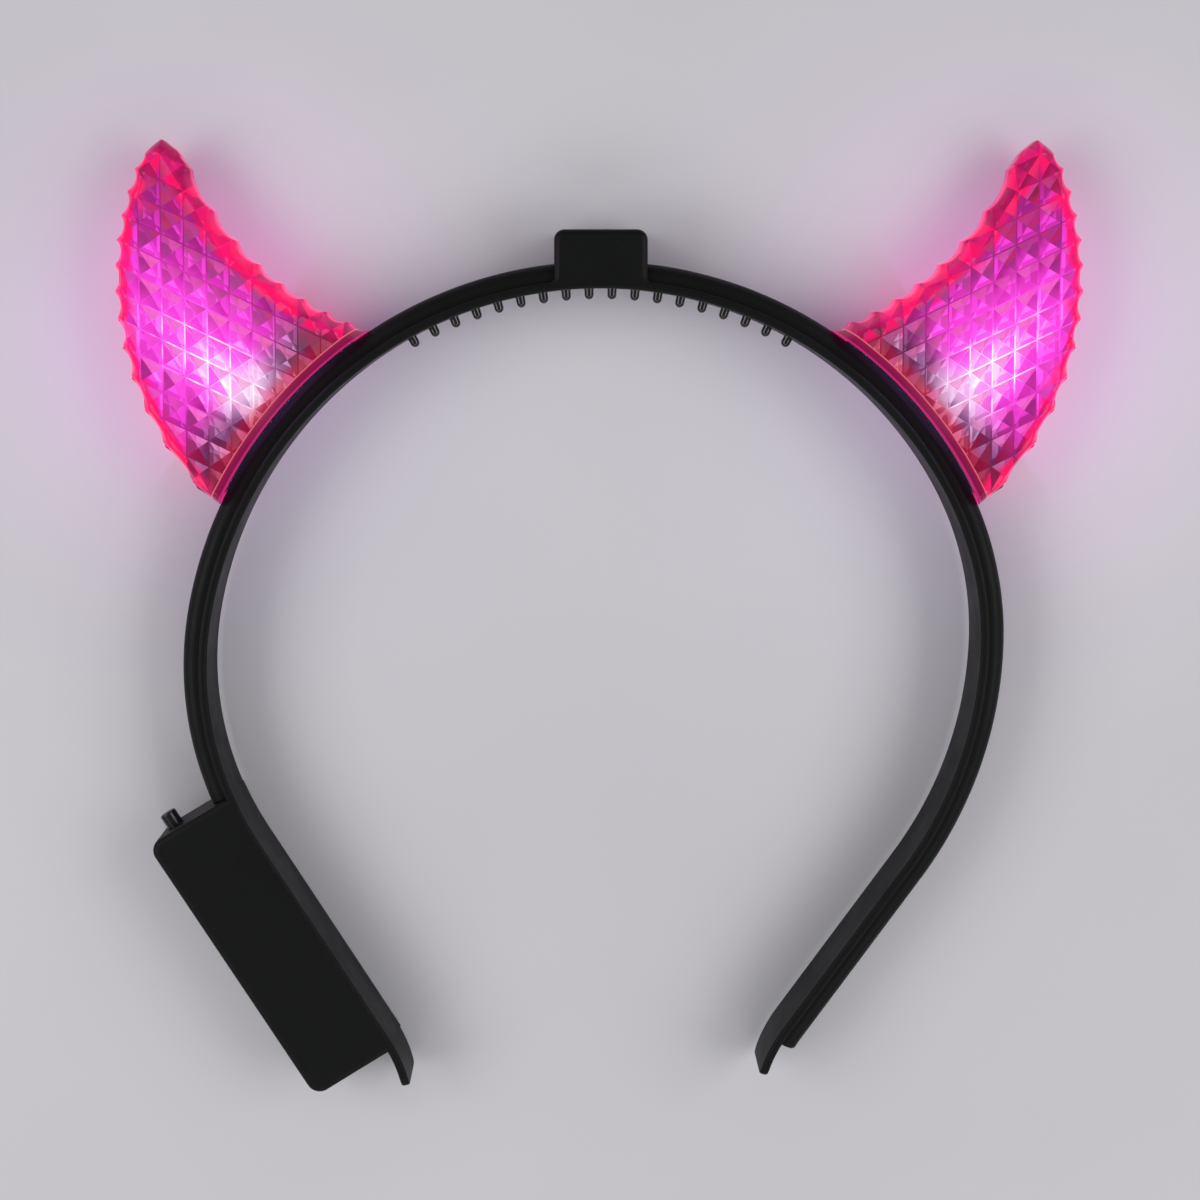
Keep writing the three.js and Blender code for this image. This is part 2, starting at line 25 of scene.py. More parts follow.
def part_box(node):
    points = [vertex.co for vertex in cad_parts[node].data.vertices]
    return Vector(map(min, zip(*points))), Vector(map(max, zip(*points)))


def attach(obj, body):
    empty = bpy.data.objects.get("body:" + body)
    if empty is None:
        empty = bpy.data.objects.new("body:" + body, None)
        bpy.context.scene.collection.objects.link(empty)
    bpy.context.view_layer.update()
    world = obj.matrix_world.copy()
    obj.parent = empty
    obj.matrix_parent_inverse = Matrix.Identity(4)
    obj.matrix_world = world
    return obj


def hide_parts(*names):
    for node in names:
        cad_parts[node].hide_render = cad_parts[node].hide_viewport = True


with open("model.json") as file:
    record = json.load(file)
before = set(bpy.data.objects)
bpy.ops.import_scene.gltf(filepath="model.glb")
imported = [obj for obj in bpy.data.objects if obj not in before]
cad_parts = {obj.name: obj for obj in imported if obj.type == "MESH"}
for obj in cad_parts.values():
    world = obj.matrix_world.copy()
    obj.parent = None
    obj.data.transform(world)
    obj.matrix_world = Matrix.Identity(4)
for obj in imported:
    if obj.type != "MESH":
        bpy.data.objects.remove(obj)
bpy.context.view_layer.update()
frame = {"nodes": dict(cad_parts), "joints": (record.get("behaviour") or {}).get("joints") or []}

LOG = logging.getLogger("headband")
MM = 0.001
MID_Z = 8.0
CROWN_RADIUS = 74.0
CENTRE_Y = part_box("band")[1].y / MM - CROWN_RADIUS
STRIP_DEPTH = 14.0
STRIP_THICKNESS = 1.6
STRIP_EDGE = 0.55
RIB_HEIGHT = 3.3

# Box and case stop short of the strip's inner face, the ribs run into both and past the right-hand straight,
# and the horns stand clear of the ribs
STRIP_STEP = 0.02
RIB_LAP = 1.0
RIB_TAIL = 3.0
HORN_GAP = 0.05

# In metres: points this close are merged, and faces this narrow are dissolved
WELD = 1e-7
SLIVER = 1e-6

# What a node can be fed: an output, or a node whose first output is meant
Signal = bpy.types.Node | bpy.types.NodeSocket

# Sockets of a colour mix, whose names repeat
MIX_FACTOR, MIX_A, MIX_B, MIX_RESULT = 0, 6, 7, 2


class Body(Enum):
    """Rigid bodies that the pieces ride on."""

    HEADBAND = "headband"
    BUTTON = "button"


class Slot(Enum):
    """Material slots of the record."""

    BLACK_PLASTIC = "black_plastic"
    BLACK_GLOSS = "black_gloss"
    PINK_JELLY = "pink_jelly"


class Side(Enum):
    """Side of the head, with the sign of its X."""

    LEFT = -1
    RIGHT = 1

    @property
    def word(self) -> str:
        """Side's name as the nodes have it."""
        return self.name.lower()


# Shared helpers


def linear(hex_colour: str) -> tuple[float, float, float, float]:
    """Turn an sRGB hex colour to linear light.

    Args:
        hex_colour: Colour such as "#1c1e1e".

    Returns:
        Linear red, green and blue, and an alpha of 1.
    """
    channels = []
    for start in (1, 3, 5):
        value = int(hex_colour[start:start + 2], 16) / 255
        channels.append(value / 12.92 if value <= 0.04045 else ((value + 0.055) / 1.055) ** 2.4)
    return (*channels, 1.0)


def to_row(x: float, y: float, z: float) -> Vector:
    """Move a point of the drawing frame, in millimetres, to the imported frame, in metres."""
    return Vector((x * MM, (y + CENTRE_Y) * MM, z * MM))


def middle_of(points: Sequence[Vector]) -> Vector:
    """Mean of points in a plane."""
    return sum(points, Vector((0.0, 0.0))) / len(points)


def arc_points(centre: Vector, radius: float, start: float, end: float, steps: int) -> list[Vector]:
    """Points of an arc.

    Args:
        centre: Centre of the arc.
        radius: Its radius.
        start: Angle of its first point in degrees.
        end: Angle of its last point in degrees.
        steps: Number of steps between them.

    Returns:
        The points, both ends included.
    """
    angles = [math.radians(start + (end - start) * step / steps) for step in range(steps + 1)]
    return [centre + radius * Vector((math.cos(angle), math.sin(angle))) for angle in angles]


def feed(tree: bpy.types.NodeTree, node: bpy.types.Node, inputs: dict[Any, Any]) -> None:
    """Set or link a node's inputs.

    Args:
        tree: Tree that the node is in.
        node: Node that is fed.
        inputs: Constant or signal for each input name or index.
    """
    for key, value in inputs.items():
        if isinstance(value, bpy.types.Node):
            value = value.outputs[0]
        if isinstance(value, bpy.types.NodeSocket):
            tree.links.new(value, node.inputs[key])
        else:
            node.inputs[key].default_value = value


def add_node(
    tree: bpy.types.NodeTree,
    kind: str,
    inputs: dict[Any, Any] | None = None,
    stops: Sequence[tuple[float, str]] = (),
    **settings: Any,
) -> bpy.types.Node:
    """Add a node, set its properties and feed its inputs.

    Args:
        tree: Tree that the node goes in.
        kind: Blender's name of the node type.
        inputs: Constant or signal for each input name or index.
        stops: Place and hex colour of each stop, on a colour ramp.
        settings: Properties of the node.

    Returns:
        The new node.
    """
    node = tree.nodes.new(kind)
    for name, value in settings.items():
        setattr(node, name, value)
    feed(tree, node, inputs or {})
    for number, (place, colour) in enumerate(stops):
        elements = node.color_ramp.elements
        if number in (0, len(stops) - 1):
            element = elements[0 if number == 0 else -1]
            element.position = place
        else:
            element = elements.new(place)
        element.color = linear(colour)
    return node


def new_material(name: str) -> tuple[bpy.types.Material, bpy.types.NodeTree, bpy.types.Node]:
    """Start a node material.

    Args:
        name: Name of the material.

    Returns:
        The material, its tree and its shader.
    """
    material = bpy.data.materials.new(name)
    material.use_nodes = True
    return material, material.node_tree, material.node_tree.nodes["Principled BSDF"]


def link_object(name: str, data: bpy.types.ID) -> bpy.types.Object:
    """Make an object at the origin and put it in the scene.

    Args:
        name: Name of the object.
        data: Mesh, curve, light or camera.

    Returns:
        The object.
    """
    piece = bpy.data.objects.new(name, data)
    bpy.context.scene.collection.objects.link(piece)
    return piece


def line_object(name: str, points: Sequence[Vector], closed: bool) -> bpy.types.Object:
    """Make a curve object of straight steps whose sections keep Z upright.

    Args:
        name: Name of the object.
        points: Points in metres.
        closed: Whether the last point joins the first.

    Returns:
        The curve object.
    """
    curve = bpy.data.curves.new(name, "CURVE")
    curve.dimensions = "3D"
    curve.twist_mode = "Z_UP"
    spline = curve.splines.new("POLY")
    spline.points.add(len(points) - 1)
    for target, point in zip(spline.points, points):
        target.co = (*point, 1.0)
    spline.use_cyclic_u = closed
    return link_object(name, curve)


def mesh_of(shape: bmesh.types.BMesh, name: str) -> bpy.types.Mesh:
    """Turn a finished shape to a mesh.

    Args:
        shape: Shape, which is freed.
        name: Name of the mesh.

    Returns:
        The mesh.
    """
    mesh = bpy.data.meshes.new(name)
    shape.to_mesh(mesh)
    shape.free()
    return mesh


def close_up(mesh: bpy.types.Mesh) -> None:
    """Merge a mesh's doubles and turn its faces outward.

    Args:
        mesh: Mesh that is changed.
    """
    shape = bmesh.new()
    shape.from_mesh(mesh)
    bmesh.ops.remove_doubles(shape, verts=shape.verts, dist=WELD)
    bmesh.ops.recalc_face_normals(shape, faces=shape.faces)
    shape.to_mesh(mesh)
    shape.free()


def settle_normals(mesh: bpy.types.Mesh, crease: float = 50.0) -> None:
    """Shade a mesh so that its flats stay flat and only its small round edges bend the light.

    Args:
        mesh: Mesh that gets corner normals.
        crease: Angle in degrees past which two faces meet in a sharp edge.
    """
    limit = math.cos(math.radians(crease))
    around: list[list[tuple[Vector, float]]] = [[] for _ in mesh.vertices]
    for face in mesh.polygons:
        face.use_smooth = True
        for vertex in face.vertices:
            around[vertex].append((face.normal.copy(), face.area))
    normals = []
    for face in mesh.polygons:
        for vertex in face.vertices:
            total = Vector()
            for normal, area in around[vertex]:
                if normal.dot(face.normal) > limit:
                    total += area * normal
            normals.append(total.normalized())
    mesh.normals_split_custom_set(normals)


def plain_mesh(piece: bpy.types.Object, name: str) -> bpy.types.Object:
    """Turn an object and its modifiers to a new object with a plain mesh.

    Args:
        piece: Object whose evaluated shape is kept; it is removed.
        name: Name of the new object.

    Returns:
        The new object, with closed seams and outward faces.
    """
    graph = bpy.context.evaluated_depsgraph_get()
    mesh = bpy.data.meshes.new_from_object(piece.evaluated_get(graph), depsgraph=graph)
    piece.modifiers.clear()
    bpy.data.objects.remove(piece)
    close_up(mesh)
    mesh.name = name
    settle_normals(mesh)
    return link_object(name, mesh)


def turned_mesh(name: str, profile: Sequence[Sequence[float]], steps: int) -> bpy.types.Mesh:
    """Turn a profile about Y.

    Args:
        name: Name of the mesh.
        profile: Radius and Y of each point in millimetres, from axis to axis.
        steps: Faces around the axis.

    Returns:
        Closed mesh in metres.
    """
    shape = bmesh.new()
    rings = []
    for radius, y in profile:
        if radius == 0:
            rings.append([shape.verts.new((0.0, y * MM, 0.0))] * steps)
            continue
        ring = []
        for step in range(steps):
            angle = math.tau * step / steps
            place = Vector((radius * math.cos(angle), y, radius * math.sin(angle)))
            ring.append(shape.verts.new(MM * place))
        rings.append(ring)
    for low, high in zip(rings, rings[1:]):
        for step in range(steps):
            after = (step + 1) % steps
            corners = dict.fromkeys((low[step], low[after], high[after], high[step]))
            shape.faces.new(list(corners))
    mesh = mesh_of(shape, name)
    close_up(mesh)
    return mesh


def hand_in(
    piece: bpy.types.Object, body: Body, material: bpy.types.Material, node: str
) -> bpy.types.Object:
    """Dress a finished piece and tie it to the frame.

    Args:
        piece: Object at the origin with its place in its mesh.
        body: Body that it rides on.
        material: Finish of the whole piece.
        node: Solid that it stands for.

    Returns:
        The same piece.
    """
    piece.data.materials.clear()
    piece.data.materials.append(material)
    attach(piece, body.value)
    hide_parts(node)
    LOG.info("%s: %d faces", piece.name, len(piece.data.polygons))
    return piece


# Path of the band


@dataclass(frozen=True)
class Stretch:
    """Arc or straight of an arm: its length, and its bend inward in radians for each millimetre."""

    length: float
    bend: float = 0.0

    @classmethod
    def arc(cls, radius: float, turn: float) -> Stretch:
        """Make an arc from its radius and its turn in degrees, inward when positive."""
        length = abs(radius * math.radians(turn))
        return cls(length, math.radians(turn) / length)


@dataclass(frozen=True)
class Arm:
    """Outer face of the strip from the middle of the crown to one tip."""

    side: Side
    crown: Stretch
    temple: Stretch
    cheek: Stretch
    jaw: Stretch
    flare: Stretch

    @property
    def stretches(self) -> tuple[Stretch, ...]:
        """Stretches in order from the crown."""
        return (self.crown, self.temple, self.cheek, self.jaw, self.flare)

    @property
    def length(self) -> float:
        """Length of the whole arm."""
        return sum(stretch.length for stretch in self.stretches)

    @property
    def jaw_start(self) -> float:
        """Distance from the crown to the straight stretch."""
        return self.crown.length + self.temple.length + self.cheek.length

    def place(self, distance: float) -> tuple[Vector, float]:
        """Find a point of the outer face, drawn on the right-hand side.

        Args:
            distance: Distance from the middle of the crown.

        Returns:
            The point, and the heading there in radians.
        """
        point = Vector((0.0, CROWN_RADIUS))
        heading = 0.0
        left = distance
        for stretch in self.stretches:
            step = left if stretch is self.flare else min(left, stretch.length)
            turned = heading - stretch.bend * step
            if stretch.bend:
                point += Vector((
                    (math.sin(heading) - math.sin(turned)) / stretch.bend,
                    (math.cos(turned) - math.cos(heading)) / stretch.bend,
                ))
            else:
                point += step * Vector((math.cos(heading), math.sin(heading)))
            heading = turned
            left -= step
        return point, heading

    def beside(self, distance: float, offset: float) -> Vector:
        """Point at an offset outward from the outer face, drawn on the right-hand side."""
        point, heading = self.place(distance)
        return point + offset * Vector((-math.sin(heading), math.cos(heading)))

    def height_over(self, point: Vector) -> float:
        """Find the height of a point over the outer face of the crown or temple.

        Args:
            point: Point drawn on the right-hand side.

        Returns:
            Height outward from the face.
        """
        if math.atan2(point.x, point.y) <= self.crown.length * self.crown.bend:
            return point.length - CROWN_RADIUS
        start, heading = self.place(self.crown.length)
        radius = 1 / self.temple.bend
        centre = start + radius * Vector((math.sin(heading), -math.cos(heading)))
        return (point - centre).length - radius


@dataclass(frozen=True)
class BandPath:
    """Path of the whole band; distances on the left arm are negative."""

    left: Arm = Arm(
        Side.LEFT,
        crown=Stretch.arc(74.0, 33.4),
        temple=Stretch.arc(75.8, 45.7),
        cheek=Stretch.arc(61.2, 43.0),
        jaw=Stretch(45.0),
        flare=Stretch.arc(27.0, -20.0),
    )
    right: Arm = Arm(
        Side.RIGHT,
        crown=Stretch.arc(74.0, 60.0),
        temple=Stretch.arc(60.0, 31.3),
        cheek=Stretch.arc(75.3, 34.3),
        jaw=Stretch(38.5),
        flare=Stretch.arc(27.0, -20.0),
    )

    def arm(self, side: Side) -> Arm:
        """Arm on one side of the head."""
        return self.left if side is Side.LEFT else self.right

    def point(self, distance: float, offset: float) -> Vector:
        """Find a point beside the band.

        Args:
            distance: Signed distance along the band.
            offset: Offset outward from the strip's outer face.

        Returns:
            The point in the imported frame.
        """
        arm = self.arm(Side.LEFT if distance < 0 else Side.RIGHT)
        point = arm.beside(abs(distance), offset)
        return to_row(arm.side.value * point.x, point.y, MID_Z)

    def line(self, name: str, start: float, end: float, offset: float) -> bpy.types.Object:
        """Draw part of the band as a curve with close steps near its ends.

        Args:
            name: Name of the curve.
            start: Signed distance of its first point.
            end: Signed distance of its last point.
            offset: Offset outward from the strip's outer face.

        Returns:
            The curve object.
        """
        coarse, fine, reach = 1.5, 0.15, 5.0
        distances = []
        at = start
        while at < end - fine / 2:
            distances.append(at)
            at += fine if min(at - start, end - at) < reach else coarse
        return line_object(name, [self.point(distance, offset) for distance in (*distances, end)], False)


# Geometry Nodes trees


def new_tree(name: str, inputs: dict[str, str]) -> tuple[bpy.types.NodeTree, bpy.types.Node]:
    """Start a Geometry Nodes tree.

    Args:
        name: Name of the tree.
        inputs: Socket type for each named input.

    Returns:
        The tree and its group input node.
    """
    tree = bpy.data.node_groups.new(name, "GeometryNodeTree")
    tree.interface.new_socket("Geometry", in_out="INPUT", socket_type="NodeSocketGeometry")
    for label, kind in inputs.items():
        tree.interface.new_socket(label, in_out="INPUT", socket_type=kind)
    tree.interface.new_socket("Geometry", in_out="OUTPUT", socket_type="NodeSocketGeometry")
    return tree, add_node(tree, "NodeGroupInput")


def end_tree(tree: bpy.types.NodeTree, shape: Signal, material: Signal) -> None:
    """End a tree with its instances realized and its material set.

    Args:
        tree: Tree that is ended.
        shape: Geometry that it gives.
        material: Material of that geometry.
    """
    real = add_node(tree, "GeometryNodeRealizeInstances", {"Geometry": shape})
    dressed = add_node(tree, "GeometryNodeSetMaterial", {"Geometry": real, "Material": material})
    add_node(tree, "NodeGroupOutput", {"Geometry": dressed})


def use_tree(piece: bpy.types.Object, tree: bpy.types.NodeTree, values: dict[str, Any]) -> None:
    """Put a tree on an object.

    Args:
        piece: Object that gets the modifier.
        tree: Geometry Nodes tree.
        values: Value of each named input.
    """
    modifier = piece.modifiers.new(tree.name, "NODES")
    modifier.node_group = tree
    for item in tree.interface.items_tree:
        if item.in_out == "INPUT" and item.name in values:
            modifier[item.identifier] = values[item.name]


def sweep_tree() -> bpy.types.NodeTree:
    """Make the tree that sweeps a section along a path and rounds both of its ends.

    Returns:
        Tree for a curve object; near the ends the section draws in, in depth and in thickness.
    """
    tree, source = new_tree("sweep_with_round_ends", {
        "Section": "NodeSocketObject",
        "Half Depth": "NodeSocketFloat",
        "Depth Rounding": "NodeSocketFloat",
        "Thickness": "NodeSocketFloat",
        "Thickness Rounding": "NodeSocketFloat",
        "Material": "NodeSocketMaterial",
    })
    node = partial(add_node, tree)
    along = node("GeometryNodeSplineParameter").outputs["Length"]
    whole = node("GeometryNodeSplineLength").outputs["Length"]
    behind = node("ShaderNodeMath", {0: whole, 1: along}, operation="SUBTRACT")
    to_end = node("ShaderNodeMath", {0: along, 1: behind}, operation="MINIMUM")
    place = node("GeometryNodeInputPosition")
    kept = node("GeometryNodeCaptureAttribute", {"Geometry": source.outputs["Geometry"]})
    kept.capture_items.new("VECTOR", "Centre")
    kept.capture_items.new("FLOAT", "To End")
    feed(tree, kept, {"Centre": place, "To End": to_end})

    shares = []
    for rounding, half in (("Thickness Rounding", "Thickness"), ("Depth Rounding", "Half Depth")):
        radius = source.outputs[rounding]
        short = node("ShaderNodeMath", {0: radius, 1: kept.outputs["To End"]}, operation="SUBTRACT")
        inside = node("ShaderNodeMath", {0: short, 1: 0.0}, operation="MAXIMUM")
        square = node("ShaderNodeMath", {0: radius, 1: radius}, operation="MULTIPLY")
        less = node("ShaderNodeMath", {0: inside, 1: inside}, operation="MULTIPLY")
        rest = node("ShaderNodeMath", {0: square, 1: less}, operation="SUBTRACT")
        root = node("ShaderNodeMath", {0: rest}, operation="SQRT")
        drawn = node("ShaderNodeMath", {0: radius, 1: root}, operation="SUBTRACT")
        lost = node("ShaderNodeMath", {0: drawn, 1: source.outputs[half]}, operation="DIVIDE")
        shares.append(node("ShaderNodeMath", {0: 1.0, 1: lost}, operation="SUBTRACT"))
    thickness, depth = shares

    section = node("GeometryNodeObjectInfo", {"Object": source.outputs["Section"]})
    swept = node("GeometryNodeCurveToMesh", {
        "Curve": kept.outputs["Geometry"], "Profile Curve": section.outputs["Geometry"], "Fill Caps": True,
    })
    factors = node("ShaderNodeCombineXYZ", {0: thickness, 1: thickness, 2: depth})
    away = node("ShaderNodeVectorMath", {0: place, 1: kept.outputs["Centre"]}, operation="SUBTRACT")
    rounded = node("ShaderNodeVectorMath", {
        0: away, 1: factors, 2: kept.outputs["Centre"],
    }, operation="MULTIPLY_ADD")
    moved = node("GeometryNodeSetPosition", {"Geometry": swept, "Position": rounded})
    end_tree(tree, moved, source.outputs["Material"])
    return tree


def comb_tree() -> bpy.types.NodeTree:
    """Make the tree that adds a row of teeth under an arc.

    Returns:
        Tree that keeps the geometry it is given and joins the teeth to it.
    """
    tree, source = new_tree("comb_under_crown", {
        "Tooth": "NodeSocketObject",
        "Count": "NodeSocketInt",
        "Pitch": "NodeSocketFloat",
        "Radius": "NodeSocketFloat",
        "Centre": "NodeSocketVector",
        "Material": "NodeSocketMaterial",
    })
    node = partial(add_node, tree)
    index = node("GeometryNodeInputIndex")
    gaps = node("ShaderNodeMath", {0: source.outputs["Count"], 1: 1.0}, operation="SUBTRACT")
    middle = node("ShaderNodeMath", {0: gaps, 1: 0.5}, operation="MULTIPLY")
    steps = node("ShaderNodeMath", {0: index, 1: middle}, operation="SUBTRACT")
    angle = node("ShaderNodeMath", {0: steps, 1: source.outputs["Pitch"]}, operation="MULTIPLY")
    sine = node("ShaderNodeMath", {0: angle}, operation="SINE")
    cosine = node("ShaderNodeMath", {0: angle}, operation="COSINE")
    outward = node("ShaderNodeCombineXYZ", {0: sine, 1: cosine})
    reach = node("ShaderNodeVectorMath", {0: outward, "Scale": source.outputs["Radius"]}, operation="SCALE")
    root = node("ShaderNodeVectorMath", {0: reach, 1: source.outputs["Centre"]}, operation="ADD")
    points = node("GeometryNodePoints", {"Count": source.outputs["Count"], "Position": root})
    back = node("ShaderNodeMath", {0: angle, 1: -1.0}, operation="MULTIPLY")
    turn = node("ShaderNodeCombineXYZ", {2: back})
    tooth = node("GeometryNodeObjectInfo", {"Object": source.outputs["Tooth"], "As Instance": True})
    row = node("GeometryNodeInstanceOnPoints", {
        "Points": points, "Instance": tooth.outputs["Geometry"], "Rotation": turn,
    })
    joined = node("GeometryNodeJoinGeometry", {"Geometry": source.outputs["Geometry"]})
    feed(tree, joined, {"Geometry": row})
    end_tree(tree, joined, source.outputs["Material"])
    return tree


# Finishes


@dataclass(frozen=True)
class Ramp:
    """Change of a value from one range to another, held level past its ends."""

    start: float
    end: float
    low: float = 0.0
    high: float = 1.0

    def of(self, value: Signal) -> dict[str, Any]:
        """Inputs of the node that puts a value through the change."""
        limits = {"From Min": self.start, "From Max": self.end, "To Min": self.low, "To Max": self.high}
        return {"Value": value, **limits}


def from_lamp(tree: bpy.types.NodeTree, lamp: Vector, aim: float) -> bpy.types.Node:
    """Measure a place from a lamp.

    Args:
        tree: Tree of the material.
        lamp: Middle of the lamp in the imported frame.
        aim: Angle in radians that it points along.

    Returns:
        Node that gives the distances ahead of the lamp and to its left, in millimetres.
    """
    place = add_node(tree, "ShaderNodeTexCoord").outputs["Object"]
    turned = add_node(tree, "ShaderNodeMapping", {
        "Vector": place, "Location": lamp, "Rotation": (0.0, 0.0, aim), "Scale": (MM, MM, MM),
    }, vector_type="TEXTURE")
    return add_node(tree, "ShaderNodeSeparateXYZ", {0: turned})


@dataclass(frozen=True)
class MouldedAbs:
    """Black ABS from an eroded mould: deep neutral black, a broad satin sheen and a barely seen grain."""

    name: str
    colour: str = "#090a0a"
    worn: str = "#0f1010"
    ior: float = 1.53
    shine: float = 0.14
    smooth: float = 0.42
    rough: float = 0.54
    polish: float = 0.12
    cloud: float = 11.0
    cloud_span: tuple[float, float] = (0.3, 0.7)
    grain: float = 0.4
    grain_span: tuple[float, float] = (0.3, 0.75)
    grain_height: float = 0.01
    grain_strength: float = 0.4

    def material(self) -> bpy.types.Material:
        """Build the finish.

        Returns:
            The node material.
        """
        material, tree, shader = new_material(self.name)
        node = partial(add_node, tree)
        place = node("ShaderNodeTexCoord").outputs["Object"]
        # Flow in the mould leaves soft clouds of slightly different gloss.
        cloud = node("ShaderNodeTexNoise", {
            "Vector": place, "Scale": 1 / (self.cloud * MM), "Detail": 3.0, "Roughness": 0.6,
        })
        sheen = node("ShaderNodeMapRange", Ramp(*self.cloud_span, self.smooth, self.rough).of(cloud))
        # The eroded grain is about 0.1 mm wide and is drawn coarser, so that it shows.
        grain = node("ShaderNodeTexNoise", {"Vector": place, "Scale": 1 / (self.grain * MM), "Detail": 2.0})
        tints = tuple(zip(self.grain_span, (self.colour, self.worn)))
        bump = node("ShaderNodeBump", {
            "Height": grain, "Strength": self.grain_strength, "Distance": self.grain_height * MM,
        })
        # Bores of the mould are polished, so pegs that come out of them are glossy.
        polished = node("ShaderNodeAttribute", attribute_name="polished").outputs["Fac"]
        feed(tree, shader, {
            "IOR": self.ior,
            "Specular IOR Level": self.shine,
            "Coat Roughness": self.polish,
            "Coat Weight": polished,
            "Roughness": node("ShaderNodeMix", {0: polished, 2: sheen, 3: self.polish}),
            "Base Color": node("ShaderNodeValToRGB", {0: grain}, stops=tints),
            "Normal": bump,
        })
        return material


@dataclass(frozen=True)
class Pool:
    """Pool of a lamp's light, with its middle ahead of the lamp and its own fall-off in each direction."""

    middle: float
    ahead: float
    behind: float
    inner: float
    outer: float
    top: float
    reach: float
    bend: float

    def level(self, tree: bpy.types.NodeTree, side: Side, ahead: Signal, beside: Signal) -> Signal:
        """Work out the pool's light at a place.

        Args:
            tree: Tree of the material.
            side: Side of the head that the lamp is on.
            ahead: Distance ahead of the lamp in millimetres.
            beside: Distance beside it, to its left, in millimetres.

        Returns:
            Level from 0 to the pool's top.
        """
        node = partial(add_node, tree)
        past = node("ShaderNodeMath", {0: ahead, 1: self.middle}, operation="SUBTRACT")
        sides = (self.outer, self.inner) if side is Side.LEFT else (self.inner, self.outer)
        ways = []
        for value, plus, minus in ((past, self.ahead, self.behind), (beside, *sides)):
            one_way = node("ShaderNodeMath", {0: value, 1: plus}, operation="MULTIPLY")
            other_way = node("ShaderNodeMath", {0: value, 1: -minus}, operation="MULTIPLY")
            ways.append(node("ShaderNodeMath", {0: one_way, 1: other_way}, operation="MAXIMUM"))
        path = node("ShaderNodeCombineXYZ", dict(enumerate(ways)))
        distance = node("ShaderNodeVectorMath", {0: path}, operation="LENGTH").outputs["Value"]
        share = node("ShaderNodeMath", {0: distance, 1: self.reach}, operation="DIVIDE")
        bent = node("ShaderNodeMath", {0: share, 1: self.bend}, operation="POWER")
        return node("ShaderNodeMapRange", Ramp(0.0, 1.0, self.top, 0.0).of(bent))


